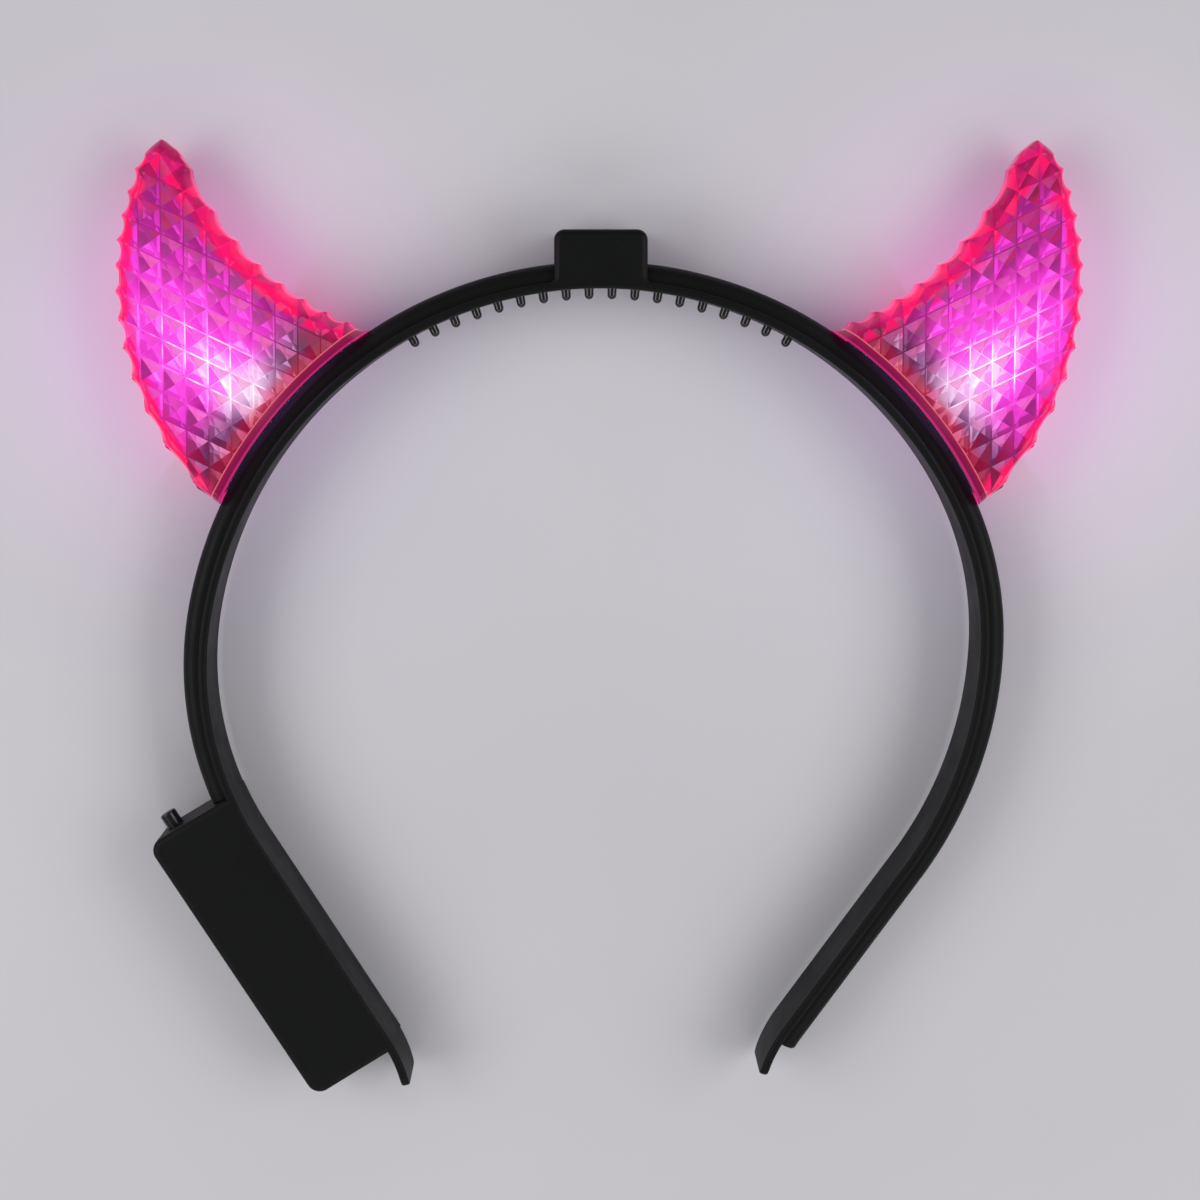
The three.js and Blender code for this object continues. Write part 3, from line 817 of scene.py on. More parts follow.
@dataclass(frozen=True)
class JellyPvc:
    """Clear pink PVC, moulded soft and glossy over a lit lamp.

    The wall carries the lamp's light: white-violet by the lamp, magenta ahead of it, plum towards the tip
    and greyer low down, where the view goes through. Each sloping facet bends the view aside, so those
    that look towards the lamp are bright and the others dark. The far wall's facets show through as a
    fainter second pattern, facets that face the arm tips carry a painted reflection of the near soft box,
    and the solid edge glows red.
    """

    name: str
    side: Side
    lamp: Vector
    aim: float
    # Colour for each level of light or, for the rim, for each share of the way across it
    glow: tuple[tuple[float, str], ...] = (
        (0.0, "#8a0c40"),
        (0.12, "#b4145c"),
        (0.2, "#b81a6e"),
        (0.28, "#9a2080"),
        (0.38, "#b4248f"),
        (0.5, "#de34bc"),
        (0.62, "#fb42e0"),
        (0.74, "#ff60f8"),
        (0.86, "#fda8fa"),
        (0.95, "#fde0fd"),
        (1.0, "#ffffff"),
    )
    low_glow: tuple[tuple[float, str], ...] = (
        (0.0, "#8a0c3a"),
        (0.15, "#7a1844"),
        (0.28, "#5e224c"),
        (0.42, "#84487c"),
        (0.55, "#b07cac"),
        (0.7, "#dcb0da"),
        (0.85, "#f8dcf8"),
        (1.0, "#ffffff"),
    )
    edge_glow: tuple[tuple[float, str], ...] = (
        (0.0, "#a20e50"),
        (0.08, "#ba1258"),
        (0.16, "#d8166e"),
        (0.3, "#fa0f60"),
        (0.5, "#ff1270"),
        (0.65, "#ff1a8c"),
        (1.0, "#ff70c8"),
    )
    foot_glow: tuple[tuple[float, str], ...] = (
        (0.0, "#800a30"),
        (0.2, "#a01238"),
        (0.4, "#b82848"),
        (0.55, "#d85068"),
        (0.75, "#f0909c"),
        (1.0, "#fff0f0"),
    )
    # Across the rim: a painted highlight line low down and another near its top, with dark wine between
    rim_glow: tuple[tuple[float, str], ...] = (
        (0.0, "#c0266c"),
        (0.1, "#b42060"),
        (0.17, "#780c40"),
        (0.7, "#8c1046"),
        (0.76, "#c85064"),
        (0.84, "#e0807c"),
        (0.92, "#a01840"),
    )
    colour: str = "#2c0418"
    # Colour of the painted reflection of the near soft box, on facets that face the arm tips
    milk: str = "#ea6cae"
    lit_rim: str = "#d06a8c"
    ior: float = 1.52
    shine: float = 0.2
    gloss_patch: float = 3.0
    gloss: Ramp = Ramp(0.0, 1.0, 0.06, 0.2)
    wide: Pool = Pool(11.0, ahead=0.6, behind=1.4, inner=1.3, outer=1.45, top=0.78, reach=40.0, bend=1.0)
    spot: Pool = Pool(4.5, ahead=0.9, behind=1.6, inner=1.5, outer=1.9, top=0.87, reach=19.0, bend=2.0)
    pool_blend: float = 0.12
    facet_share: float = 0.1
    facet_tilt: float = 0.4
    loose_share: float = 0.14
    far_share: float = 0.08
    far_offset: Ramp = Ramp(-1.0, 1.0, 3.0 * MM, 9.0 * MM)
    far_upright: Ramp = Ramp(-0.1, 0.1)
    far_lean: Ramp = Ramp(-0.3, 0.3, -1.0, 1.0)
    swing: Ramp = Ramp(0.42, 0.7, 1.0, 0.5)
    diagonal: float = 0.02
    diagonal_share: float = 0.5
    ridge_gain: Ramp = Ramp(0.42, 0.68, -0.08, 0.26)
    ridge_blotch: float = 3.0
    ridge_break: Ramp = Ramp(0.35, 0.6, 0.1, 1.1)
    low_rise: Ramp = Ramp(5.0, 12.0, 1.0, 0.0)
    foot_rise: Ramp = Ramp(2.2, 5.0, 0.85, 0.0)
    # Where the painted reflection goes: by the facet's slope, by chance, away from the edge, and more near
    # the lamp
    milk_slope: Ramp = Ramp(-0.2, -0.3)
    milk_share: Ramp = Ramp(-1.0, 1.0, 0.1, 0.65)
    milk_clear: Ramp = Ramp(0.2, 0.6, 1.0, 0.0)
    milk_lit: Ramp = Ramp(0.2, 0.5, 0.5, 1.0)
    edge_rise: Ramp = Ramp(0.13, 0.45)
    edge_break: float = 0.18
    edge_share: float = 0.22
    edge_blotch: float = 4.0
    edge_uneven: Ramp = Ramp(0.3, 0.7, -0.09, 0.09)
    rim_rise: float = 1.7
    rim_width: float = 2.0
    rim_lit: Ramp = Ramp(0.3, 0.9, 0.0, 0.5)

    def level(self, tree: bpy.types.NodeTree) -> Signal:
        """Work out how much of the lamp's light reaches a place.

        Args:
            tree: Tree of the material.

        Returns:
            Level from 0, dark, to 1, at the lamp.
        """
        ahead, beside = from_lamp(tree, self.lamp, self.aim).outputs[:2]
        wide, spot = [pool.level(tree, self.side, ahead, beside) for pool in (self.wide, self.spot)]
        pools = {0: wide, 1: spot, 2: self.pool_blend}
        return add_node(tree, "ShaderNodeMath", pools, operation="SMOOTH_MAX")

    def cell_offsets(self, tree: bpy.types.NodeTree, place: Signal) -> tuple[Signal, Signal]:
        """Measure how far a place is from the middle of its cell.

        Args:
            tree: Tree of the material.
            place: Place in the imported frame.

        Returns:
            Offsets in columns and in rows, from -0.5 to 0.5.
        """
        node = partial(add_node, tree)
        column_step, row_step, column_start, row_start = CellField().steps(self.side)
        offsets = []
        for step, start in ((column_step, column_start), (row_step, row_start)):
            along = node("ShaderNodeVectorMath", {0: place, 1: step}, operation="DOT_PRODUCT")
            count = node("ShaderNodeMath", {0: along.outputs["Value"], 1: start}, operation="ADD")
            part = node("ShaderNodeMath", {0: count}, operation="FRACT")
            offsets.append(node("ShaderNodeMath", {0: part, 1: 0.5}, operation="SUBTRACT"))
        return offsets[0], offsets[1]

    def across_diagonals(self, tree: bpy.types.NodeTree, column: Signal, row: Signal) -> Signal:
        """Measure how far a place is from its cell's diagonals.

        Args:
            tree: Tree of the material.
            column: Offset in columns.
            row: Offset in rows.

        Returns:
            Distance, positive in the facets to the left and right.
        """
        node = partial(add_node, tree)
        wide = node("ShaderNodeMath", {0: column}, operation="ABSOLUTE")
        high = node("ShaderNodeMath", {0: row}, operation="ABSOLUTE")
        return node("ShaderNodeMath", {0: wide, 1: high}, operation="SUBTRACT")

    def far_light(self, tree: bpy.types.NodeTree, tilt: Signal) -> Signal:
        """Work out what the far wall's facets add to the light.

        Args:
            tree: Tree of the material.
            tilt: Slope of the near facet, through which the far wall is seen a little aside.

        Returns:
            Change from -1 to 1, soft at the facets' edges.
        """
        node = partial(add_node, tree)
        place = node("ShaderNodeTexCoord").outputs["Object"]
        chance = node("ShaderNodeAttribute", attribute_name="chance").outputs["Fac"]
        offset = node("ShaderNodeMapRange", self.far_offset.of(chance))
        shift = node("ShaderNodeVectorMath", {0: tilt, "Scale": offset}, operation="SCALE")
        seen = node("ShaderNodeVectorMath", {0: place, 1: shift}, operation="ADD")
        column, row = self.cell_offsets(tree, seen)
        upright = node("ShaderNodeMapRange", self.far_upright.of(self.across_diagonals(tree, column, row)))
        left_right, down_up = [node("ShaderNodeMapRange", self.far_lean.of(value)) for value in (column, row)]
        return node("ShaderNodeMix", {0: upright, 2: down_up, 3: left_right})

    def facet_light(self, tree: bpy.types.NodeTree, level: Signal) -> Signal:
        """Work out what a facet's slope and its ridges add to the light.

        Args:
            tree: Tree of the material.
            level: Level of the lamp's light.

        Returns:
            Level with that change.
        """
        node = partial(add_node, tree)
        place = node("ShaderNodeTexCoord").outputs["Object"]
        tilt = node("ShaderNodeAttribute", attribute_name="tilt").outputs["Vector"]
        chance = node("ShaderNodeAttribute", attribute_name="chance").outputs["Fac"]
        away = node("ShaderNodeVectorMath", {0: place, 1: self.lamp}, operation="SUBTRACT")
        flat_way = node("ShaderNodeVectorMath", {0: away, 1: (1.0, 1.0, 0.0)}, operation="MULTIPLY")
        way = node("ShaderNodeVectorMath", {0: flat_way}, operation="NORMALIZE")
        facing = node("ShaderNodeVectorMath", {0: tilt, 1: way}, operation="DOT_PRODUCT").outputs["Value"]
        change: Signal | float = 0.0
        for value, share in (
            (facing, self.facet_share / self.facet_tilt),
            (self.far_light(tree, tilt), -self.far_share),
            (chance, self.loose_share),
        ):
            change = node("ShaderNodeMath", {0: value, 1: share, 2: change}, operation="MULTIPLY_ADD")
        # Where the wall is full of light, the facets differ less.
        swing = node("ShaderNodeMapRange", self.swing.of(level))
        shown = node("ShaderNodeMath", {0: change, 1: swing, 2: level}, operation="MULTIPLY_ADD")
        # Ridges and the facets' edges catch the light near the lamp and are dark further out.
        aside = self.across_diagonals(tree, *self.cell_offsets(tree, place))
        off_diagonal = node("ShaderNodeMath", {0: aside}, operation="ABSOLUTE")
        diagonal = node("ShaderNodeMath", {0: off_diagonal, 1: self.diagonal}, operation="LESS_THAN")
        fainter = node("ShaderNodeMath", {0: diagonal, 1: self.diagonal_share}, operation="MULTIPLY")
        ridge = node("ShaderNodeAttribute", attribute_name="ridge").outputs["Fac"]
        edge = node("ShaderNodeMath", {0: ridge, 1: fainter}, operation="MAXIMUM")
        gain = node("ShaderNodeMapRange", self.ridge_gain.of(level))
        blotch = node("ShaderNodeTexNoise", {"Vector": place, "Scale": 1 / (self.ridge_blotch * MM)})
        broken = node("ShaderNodeMapRange", self.ridge_break.of(blotch))
        on_edge = node("ShaderNodeMath", {0: gain, 1: broken, 2: level}, operation="MULTIPLY_ADD")
        return node("ShaderNodeMix", {0: edge, 2: shown, 3: on_edge})

    def face_light(self, tree: bpy.types.NodeTree, level: Signal) -> Signal:
        """Colour the faceted face.

        Args:
            tree: Tree of the material.
            level: Level of the lamp's light.

        Returns:
            Colour of the light.
        """
        node = partial(add_node, tree)
        border, chance, rise = [
            node("ShaderNodeAttribute", attribute_name=name).outputs["Fac"]
            for name in ("border", "chance", "rise")
        ]
        shown = self.facet_light(tree, level)
        face = node("ShaderNodeValToRGB", {0: shown}, stops=self.glow).outputs[0]
        for stops, near_base in ((self.low_glow, self.low_rise), (self.foot_glow, self.foot_rise)):
            colour = node("ShaderNodeValToRGB", {0: shown}, stops=stops)
            share = node("ShaderNodeMapRange", near_base.of(rise), interpolation_type="SMOOTHSTEP")
            face = node("ShaderNodeMix", {
                MIX_FACTOR: share, MIX_A: face, MIX_B: colour,
            }, data_type="RGBA").outputs[MIX_RESULT]
        # Facets that face the arm tips get a painted reflection of the near soft box, by chance, less so far
        # from the lamp and not in the edge.
        tilt = node("ShaderNodeAttribute", attribute_name="tilt").outputs["Vector"]
        slope = node("ShaderNodeSeparateXYZ", {0: tilt}).outputs["Y"]
        milk = node("ShaderNodeMapRange", self.milk_slope.of(slope))
        for value, ramp in ((chance, self.milk_share), (border, self.milk_clear), (level, self.milk_lit)):
            factor = node("ShaderNodeMapRange", ramp.of(value))
            milk = node("ShaderNodeMath", {0: milk, 1: factor}, operation="MULTIPLY")
        return node("ShaderNodeMix", {
            MIX_FACTOR: milk, MIX_A: face, MIX_B: linear(self.milk),
        }, data_type="RGBA").outputs[MIX_RESULT]

    def edge_light(self, tree: bpy.types.NodeTree, level: Signal) -> Signal:
        """Colour the solid edge around the face.

        Args:
            tree: Tree of the material.
            level: Level of the lamp's light.

        Returns:
            Colour of the light.
        """
        node = partial(add_node, tree)
        place = node("ShaderNodeTexCoord").outputs["Object"]
        chance = node("ShaderNodeAttribute", attribute_name="chance").outputs["Fac"]
        blotch = node("ShaderNodeTexNoise", {
            "Vector": place, "Scale": 1 / (self.edge_blotch * MM), "Detail": 2.0,
        })
        uneven = node("ShaderNodeMapRange", self.edge_uneven.of(blotch))
        shown = node("ShaderNodeMath", {0: level, 1: uneven}, operation="ADD")
        shown = node("ShaderNodeMath", {0: chance, 1: self.edge_share, 2: shown}, operation="MULTIPLY_ADD")
        return node("ShaderNodeValToRGB", {0: shown}, stops=self.edge_glow)

    def rim_light(self, tree: bpy.types.NodeTree, level: Signal) -> Signal:
        """Colour the smooth rim at the base, with a painted highlight line along each side.

        Args:
            tree: Tree of the material.
            level: Level of the lamp's light.

        Returns:
            Colour of the light.
        """
        node = partial(add_node, tree)
        rise = node("ShaderNodeAttribute", attribute_name="rise").outputs["Fac"]
        across = node("ShaderNodeMath", {0: rise, 1: self.rim_width}, operation="DIVIDE")
        return node("ShaderNodeMix", {
            MIX_FACTOR: node("ShaderNodeMapRange", self.rim_lit.of(level)),
            MIX_A: node("ShaderNodeValToRGB", {0: across}, stops=self.rim_glow),
            MIX_B: linear(self.lit_rim),
        }, data_type="RGBA").outputs[MIX_RESULT]

    def material(self) -> bpy.types.Material:
        """Build the finish.

        Returns:
            The node material.
        """
        material, tree, shader = new_material(self.name)
        node = partial(add_node, tree)
        place = node("ShaderNodeTexCoord").outputs["Object"]
        border, chance, rise = [
            node("ShaderNodeAttribute", attribute_name=name).outputs["Fac"]
            for name in ("border", "chance", "rise")
        ]
        level = self.level(tree)
        # The facets break up the inner side of the red edge.
        broken = node("ShaderNodeMath", {0: chance, 1: self.edge_break, 2: border}, operation="MULTIPLY_ADD")
        at_edge = node("ShaderNodeMapRange", self.edge_rise.of(broken), interpolation_type="SMOOTHSTEP")
        in_rim = node("ShaderNodeMath", {0: rise, 1: self.rim_rise}, operation="LESS_THAN")
        light = self.face_light(tree, level)
        for share, colour in ((at_edge, self.edge_light(tree, level)), (in_rim, self.rim_light(tree, level))):
            light = node("ShaderNodeMix", {
                MIX_FACTOR: share, MIX_A: light, MIX_B: colour,
            }, data_type="RGBA").outputs[MIX_RESULT]
        # Plasticiser leaves soft PVC slightly uneven in gloss, in patches of a few millimetres.
        patch = node("ShaderNodeTexNoise", {
            "Vector": place, "Scale": 1 / (self.gloss_patch * MM), "Detail": 2.0,
        })
        feed(tree, shader, {
            "IOR": self.ior,
            "Specular IOR Level": self.shine,
            "Base Color": linear(self.colour),
            "Roughness": node("ShaderNodeMapRange", self.gloss.of(patch)),
            "Emission Color": light,
            "Emission Strength": 1.0,
        })
        return material


@dataclass(frozen=True)
class MilkyPolythene:
    """Natural polythene, moulded plain: waxy, milky and faintly pink from the light that soaks into it."""

    name: str
    colour: str = "#e7d3df"
    shade: str = "#d3b9c8"
    roughness: float = 0.5
    soak: float = 0.3
    soak_depth: float = 2.0
    cloud: float = 5.0
    cloud_span: tuple[float, float] = (0.35, 0.7)

    def material(self) -> bpy.types.Material:
        """Build the finish.

        Returns:
            The node material.
        """
        material, tree, shader = new_material(self.name)
        place = add_node(tree, "ShaderNodeTexCoord").outputs["Object"]
        cloud = add_node(tree, "ShaderNodeTexNoise", {"Vector": place, "Scale": 1 / (self.cloud * MM)})
        tints = tuple(zip(self.cloud_span, (self.colour, self.shade)))
        feed(tree, shader, {
            "Roughness": self.roughness,
            "Subsurface Weight": self.soak,
            "Subsurface Scale": self.soak_depth * MM,
            "Base Color": add_node(tree, "ShaderNodeValToRGB", {0: cloud}, stops=tints),
        })
        return material


@dataclass(frozen=True)
class EpoxyLens:
    """Clear epoxy cast over a lit chip: glassy, near white and brightest at its dome."""

    name: str
    lamp: Vector
    aim: float
    core: str = "#fff4ff"
    skirt: str = "#f3a6ea"
    ior: float = 1.54
    roughness: float = 0.08
    strength: float = 1.2
    dome: Ramp = Ramp(-3.0, 3.0)
    dome_span: tuple[float, float] = (0.1, 0.7)

    def material(self) -> bpy.types.Material:
        """Build the finish.

        Returns:
            The node material.
        """
        material, tree, shader = new_material(self.name)
        ahead = from_lamp(tree, self.lamp, self.aim)
        dome = add_node(tree, "ShaderNodeMapRange", self.dome.of(ahead))
        tints = tuple(zip(self.dome_span, (self.skirt, self.core)))
        light = add_node(tree, "ShaderNodeValToRGB", {0: dome}, stops=tints)
        feed(tree, shader, {
            "IOR": self.ior,
            "Roughness": self.roughness,
            "Base Color": light,
            "Emission Color": light,
            "Emission Strength": self.strength,
        })
        return material


# Band


@dataclass
class Band:
    """Springy strip with comb teeth under the crown."""

    path: BandPath
    edge_steps: int = 5
    tip_rounding: float = 2.0
    tooth_count: int = 18
    tooth_pitch: float = 3.38
    tooth_radius: float = 0.85
    tooth_length: float = 2.0
    # Share of the radius and place along the tooth, for each point of its foot
    tooth_foot: tuple[tuple[float, float], ...] = ((1.12, 0.6), (1.1, 0.0), (1.02, -0.25), (1.0, -0.6))
    tooth_steps: int = 20
    dome_steps: int = 6

    def section(self) -> bpy.types.Object:
        """Draw the strip's section about the middle of its thickness.

        Returns:
            Closed curve with X inward and Y across the depth.
        """
        half_depth = STRIP_DEPTH / 2 - STRIP_EDGE
        half_thickness = STRIP_THICKNESS / 2 - STRIP_EDGE
        points = []
        for corner, (across, down) in enumerate(((1, 1), (-1, 1), (-1, -1), (1, -1))):
            centre = Vector((across * half_thickness, down * half_depth))
            points += arc_points(centre, STRIP_EDGE, 90 * corner, 90 * corner + 90, self.edge_steps)
        return line_object("strip_section", [MM * point.to_3d() for point in points], True)

    def tooth(self) -> bpy.types.Object:
        """Turn one tooth, pointing down from the strip's inner face, with a foot that flares.

        Returns:
            Object with a rounded peg along -Y.
        """
        radius = self.tooth_radius
        foot = [(radius * share, y) for share, y in self.tooth_foot]
        dome = arc_points(Vector((0.0, radius - self.tooth_length)), radius, 0, -90, self.dome_steps)
        profile = [(0.0, foot[0][1]), *foot, *dome[:-1], (0.0, -self.tooth_length)]
        mesh = turned_mesh("tooth", profile, self.tooth_steps)
        polished = mesh.attributes.new("polished", "FLOAT", "POINT")
        polished.data.foreach_set("value", [1.0] * len(mesh.vertices))
        return link_object("tooth", mesh)

    def build(self, finish: bpy.types.Material) -> bpy.types.Object:
        """Sweep the strip, add its teeth and hand the moulding in.

        Args:
            finish: Material of the moulding.

        Returns:
            The piece.
        """
        strip = self.path.line(
            "strip_line", -self.path.left.length, self.path.right.length, -STRIP_THICKNESS / 2
        )
        section = self.section()
        tooth = self.tooth()
        use_tree(strip, sweep_tree(), {
            "Section": section,
            "Half Depth": STRIP_DEPTH / 2 * MM,
            "Depth Rounding": self.tip_rounding * MM,
            "Thickness": STRIP_THICKNESS / 2 * MM,
            "Thickness Rounding": STRIP_EDGE * MM,
            "Material": finish,
        })
        use_tree(strip, comb_tree(), {
            "Tooth": tooth,
            "Count": self.tooth_count,
            "Pitch": math.radians(self.tooth_pitch),
            "Radius": (CROWN_RADIUS - STRIP_THICKNESS) * MM,
            "Centre": tuple(to_row(0.0, 0.0, MID_Z)),
            "Material": finish,
        })
        piece = plain_mesh(strip, "strip_and_comb")
        bpy.data.objects.remove(section)
        bpy.data.objects.remove(tooth)
        return hand_in(piece, Body.HEADBAND, finish, "band")


@dataclass
class WireCover:
    """Rounded rib over the wires on one arm's outer face."""

    path: BandPath
    side: Side
    start: float
    end: float
    width: float = 10.4
    shoulder: float = 2.4
    shoulder_steps: int = 8
    sunk: float = 0.3
    end_rounding: float = 0.9

    def section(self) -> bpy.types.Object:
        """Draw the rib's section over the strip's outer face.

        Returns:
            Closed curve with X inward and Y across the depth.
        """
        half = self.width / 2 - self.shoulder
        low = self.shoulder - RIB_HEIGHT
        points = []
        for across, start in ((half, 90), (-half, 180)):
            points += arc_points(Vector((low, across)), self.shoulder, start, start + 90, self.shoulder_steps)
        points += [Vector((self.sunk, edge)) for edge in (-self.width / 2, self.width / 2)]
        return line_object("rib_section", [MM * point.to_3d() for point in points], True)

    def build(self, finish: bpy.types.Material) -> bpy.types.Object:
        """Sweep the rib and hand it in.

        Args:
            finish: Material of the rib.

        Returns:
            The piece.
        """
        ends = sorted((self.side.value * self.start, self.side.value * self.end))
        rib = self.path.line("rib_line", *ends, 0.0)
        section = self.section()
        use_tree(rib, sweep_tree(), {
            "Section": section,
            "Half Depth": self.width / 2 * MM,
            "Depth Rounding": self.end_rounding * MM,
            "Thickness": RIB_HEIGHT * MM,
            "Thickness Rounding": self.end_rounding * MM,
            "Material": finish,
        })
        piece = plain_mesh(rib, f"wire_rib_{self.side.word}")
        bpy.data.objects.remove(section)
        return hand_in(piece, Body.HEADBAND, finish, f"wire_cover_{self.side.word}")


# Boxes


@dataclass
class Prism:
    """Upright block over an outline whose front and back edges are rounded, each by its own share."""

    outline: Sequence[Vector]
    shares: Sequence[float]
    low: float
    high: float
    rounding: float
    segments: int = 5

    def build(self, name: str) -> bpy.types.Object:
        """Make the block with its rounding as a live modifier.

        Args:
            name: Name of the object.

        Returns:
            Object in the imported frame.
        """
        shape = bmesh.new()
        weight = shape.edges.layers.float.new("bevel_weight_edge")
        loops = []
        for z in (self.low, self.high):
            loops.append([shape.verts.new(to_row(point.x, point.y, z)) for point in self.outline])
        back, front = loops
        shape.faces.new(list(reversed(back)))
        shape.faces.new(front)
        count = len(self.outline)
        for corner in range(count):
            after = (corner + 1) % count
            shape.faces.new((back[corner], back[after], front[after], front[corner]))
            for loop in loops:
                shape.edges.get((loop[corner], loop[after]))[weight] = self.shares[corner]
        bmesh.ops.recalc_face_normals(shape, faces=shape.faces)
        block = link_object(name, mesh_of(shape, name))
        bevel = block.modifiers.new("round_edges", "BEVEL")
        bevel.limit_method = "WEIGHT"
        bevel.width = self.rounding * MM
        bevel.segments = self.segments
        bevel.use_clamp_overlap = False
        return block


@dataclass
class CrownBox:
    """Small box astride the strip at the top of the crown."""

    width: float = 17.0
    top: float = 83.0
    corner: float = 1.9
    corner_steps: int = 8
    foot: float = 0.9
    foot_steps: int = 6
    foot_share: float = 0.3
    under_steps: int = 12
    rounding: float = 1.25
    proud: float = 0.04

    def build(self, finish: bpy.types.Material) -> bpy.types.Object:
        """Make the box, whose face runs on over the strip's front edge, and hand it in.

        Args:
            finish: Material of the box.

        Returns:
            The piece.
        """
        half = self.width / 2
        inner = CROWN_RADIUS - STRIP_THICKNESS + STRIP_STEP
        strip_y = math.sqrt(CROWN_RADIUS ** 2 - (half + self.foot) ** 2)
        swing = math.degrees(math.asin((half + self.foot) / inner))
        foot = Vector((half + self.foot, strip_y + self.foot))
        corner = Vector((half - self.corner, self.top - self.corner))
        right = arc_points(foot, self.foot, 270, 180, self.foot_steps)
        right += arc_points(corner, self.corner, 0, 90, self.corner_steps)
        left = [Vector((-point.x, point.y)) for point in reversed(right)]
        under = arc_points(Vector((0.0, 0.0)), inner, 90 + swing, 90 - swing, self.under_steps)
        outline = right + left + under
        full = len(right) + len(left) - 1 - 2 * self.foot_steps
        edge = STRIP_EDGE / self.rounding
        rest = (1 - self.foot_share) / self.foot_steps
        growing = [self.foot_share + rest * step for step in range(self.foot_steps)]
        shares = [*growing, *[1.0] * full, *reversed(growing), 0.0, *[edge] * (len(under) - 1), 0.0]
        low = MID_Z - STRIP_DEPTH / 2 - self.proud
        high = MID_Z + STRIP_DEPTH / 2 + self.proud
        block = Prism(outline, shares, low, high, self.rounding).build("box_block")
        piece = plain_mesh(block, "crown_box")
        return hand_in(piece, Body.HEADBAND, finish, "controller_box")


@dataclass
class BatteryCase:
    """Long case on the outside of the left arm, with a socket for the push button."""

    arm: Arm
    length: float = 57.5
    width: float = 16.5
    depth: float = 15.0
    lead: float = 10.6
    corner: float = 2.6
    corner_steps: int = 8
    inner_steps: int = 16
    rounding: float = 1.2
    proud: float = 0.04
    socket_radius: float = 1.8
    socket_depth: float = 4.7
    socket_steps: int = 48

    def outline(self) -> tuple[list[Vector], list[float]]:
        """Draw the case on the left arm, from the strip's inner face to the outer side.

        Returns:
            Points of the outline, and the share of the rounding on the edge after each point.
        """
        start, heading = self.arm.place(self.arm.jaw_start)
        down = Vector((math.cos(heading), math.sin(heading)))
        out = Vector((-math.sin(heading), math.cos(heading)))
        top, end = -self.lead, self.length - self.lead
        offset = STRIP_STEP - STRIP_THICKNESS
        begin = self.arm.jaw_start + top
        stride = (self.arm.jaw.length - top) / self.inner_steps
        inner = [self.arm.beside(begin + stride * step, offset) for step in range(self.inner_steps)]
        turned = math.degrees(heading)
        outer = [start + end * down + offset * out]
        for at, first in ((end - self.corner, 0), (top + self.corner, 90)):
            centre = start + at * down + (self.width - self.corner) * out
            outer += arc_points(centre, self.corner, turned + first, turned + first + 90, self.corner_steps)
        points = [Vector((self.arm.side.value * point.x, point.y)) for point in inner + outer]
        edge = STRIP_EDGE / self.rounding
        return points, [edge] * len(inner) + [1.0] * len(outer)

    def build(self, finish: bpy.types.Material) -> bpy.types.Object:
        """Make the case, cut the button's socket and hand it in.

        Args:
            finish: Material of the case.

        Returns:
            The piece.
        """
        points, shares = self.outline()
        block = Prism(points, shares, 0.0, self.depth + self.proud, self.rounding).build("case_block")
        profile = [
            (0.0, -self.socket_depth),
            (self.socket_radius, -self.socket_depth),
            (self.socket_radius, self.socket_depth),
            (0.0, self.socket_depth),
        ]
        cutter = link_object("socket_cutter", turned_mesh("socket_cutter", profile, self.socket_steps))
        cutter.data.transform(PushButton().pose() @ Matrix.Translation((0.0, PushButton().flush * MM, 0.0)))
        cut = block.modifiers.new("socket", "BOOLEAN")
        cut.object = cutter
        cut.operation = "DIFFERENCE"
        cut.solver = "EXACT"
        piece = plain_mesh(block, "cell_case")
        bpy.data.objects.remove(cutter)
        return hand_in(piece, Body.HEADBAND, finish, "battery_case")


@dataclass
class PushButton:
    """Round button that slides into the upper end of the battery case."""

    node: str = "switch_button"
    radius: float = 1.6
    height: float = 3.0
    shank: float = 3.2
    rounding: float = 0.4
    rounding_steps: int = 6
    dish: float = 0.12
    # Shares of the flat top's radius and of the dish's depth
    dish_shares: tuple[tuple[float, float], ...] = ((0.9, 0.0), (0.75, 0.6), (0.4, 1.0), (0.0, 1.0))
    steps: int = 48

    @property
    def flush(self) -> float:
        """Place along the button, from its middle, where it leaves the case."""
        return (self.shank - self.height) / 2

    def pose(self) -> Matrix:
        """Find the button's place in the frame.

        Returns:
            Place of its middle, with Y along its slide outward.
        """
        low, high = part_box(self.node)
        outward = -Vector(frame["joints"][0]["axis"])
        turn = Matrix.Rotation(math.atan2(-outward.x, outward.y), 4, "Z")
        return Matrix.Translation((low + high) / 2) @ turn

    def build(self, finish: bpy.types.Material) -> bpy.types.Object:
        """Turn the button and hand it in.

        Args:
            finish: Material of the button.

        Returns:
            The piece.
        """
        end = (self.height + self.shank) / 2
        flat = self.radius - self.rounding
        profile = [(0.0, -end), (self.radius, -end), (self.radius, self.flush)]
        profile += arc_points(Vector((flat, end - self.rounding)), self.rounding, 0, 90, self.rounding_steps)
        profile += [(flat * out, end - self.dish * down) for out, down in self.dish_shares]
        mesh = turned_mesh("push_button", profile, self.steps)
        mesh.transform(self.pose())
        settle_normals(mesh)
        piece = link_object("push_button", mesh)
        return hand_in(piece, Body.BUTTON, finish, self.node)


# Horns


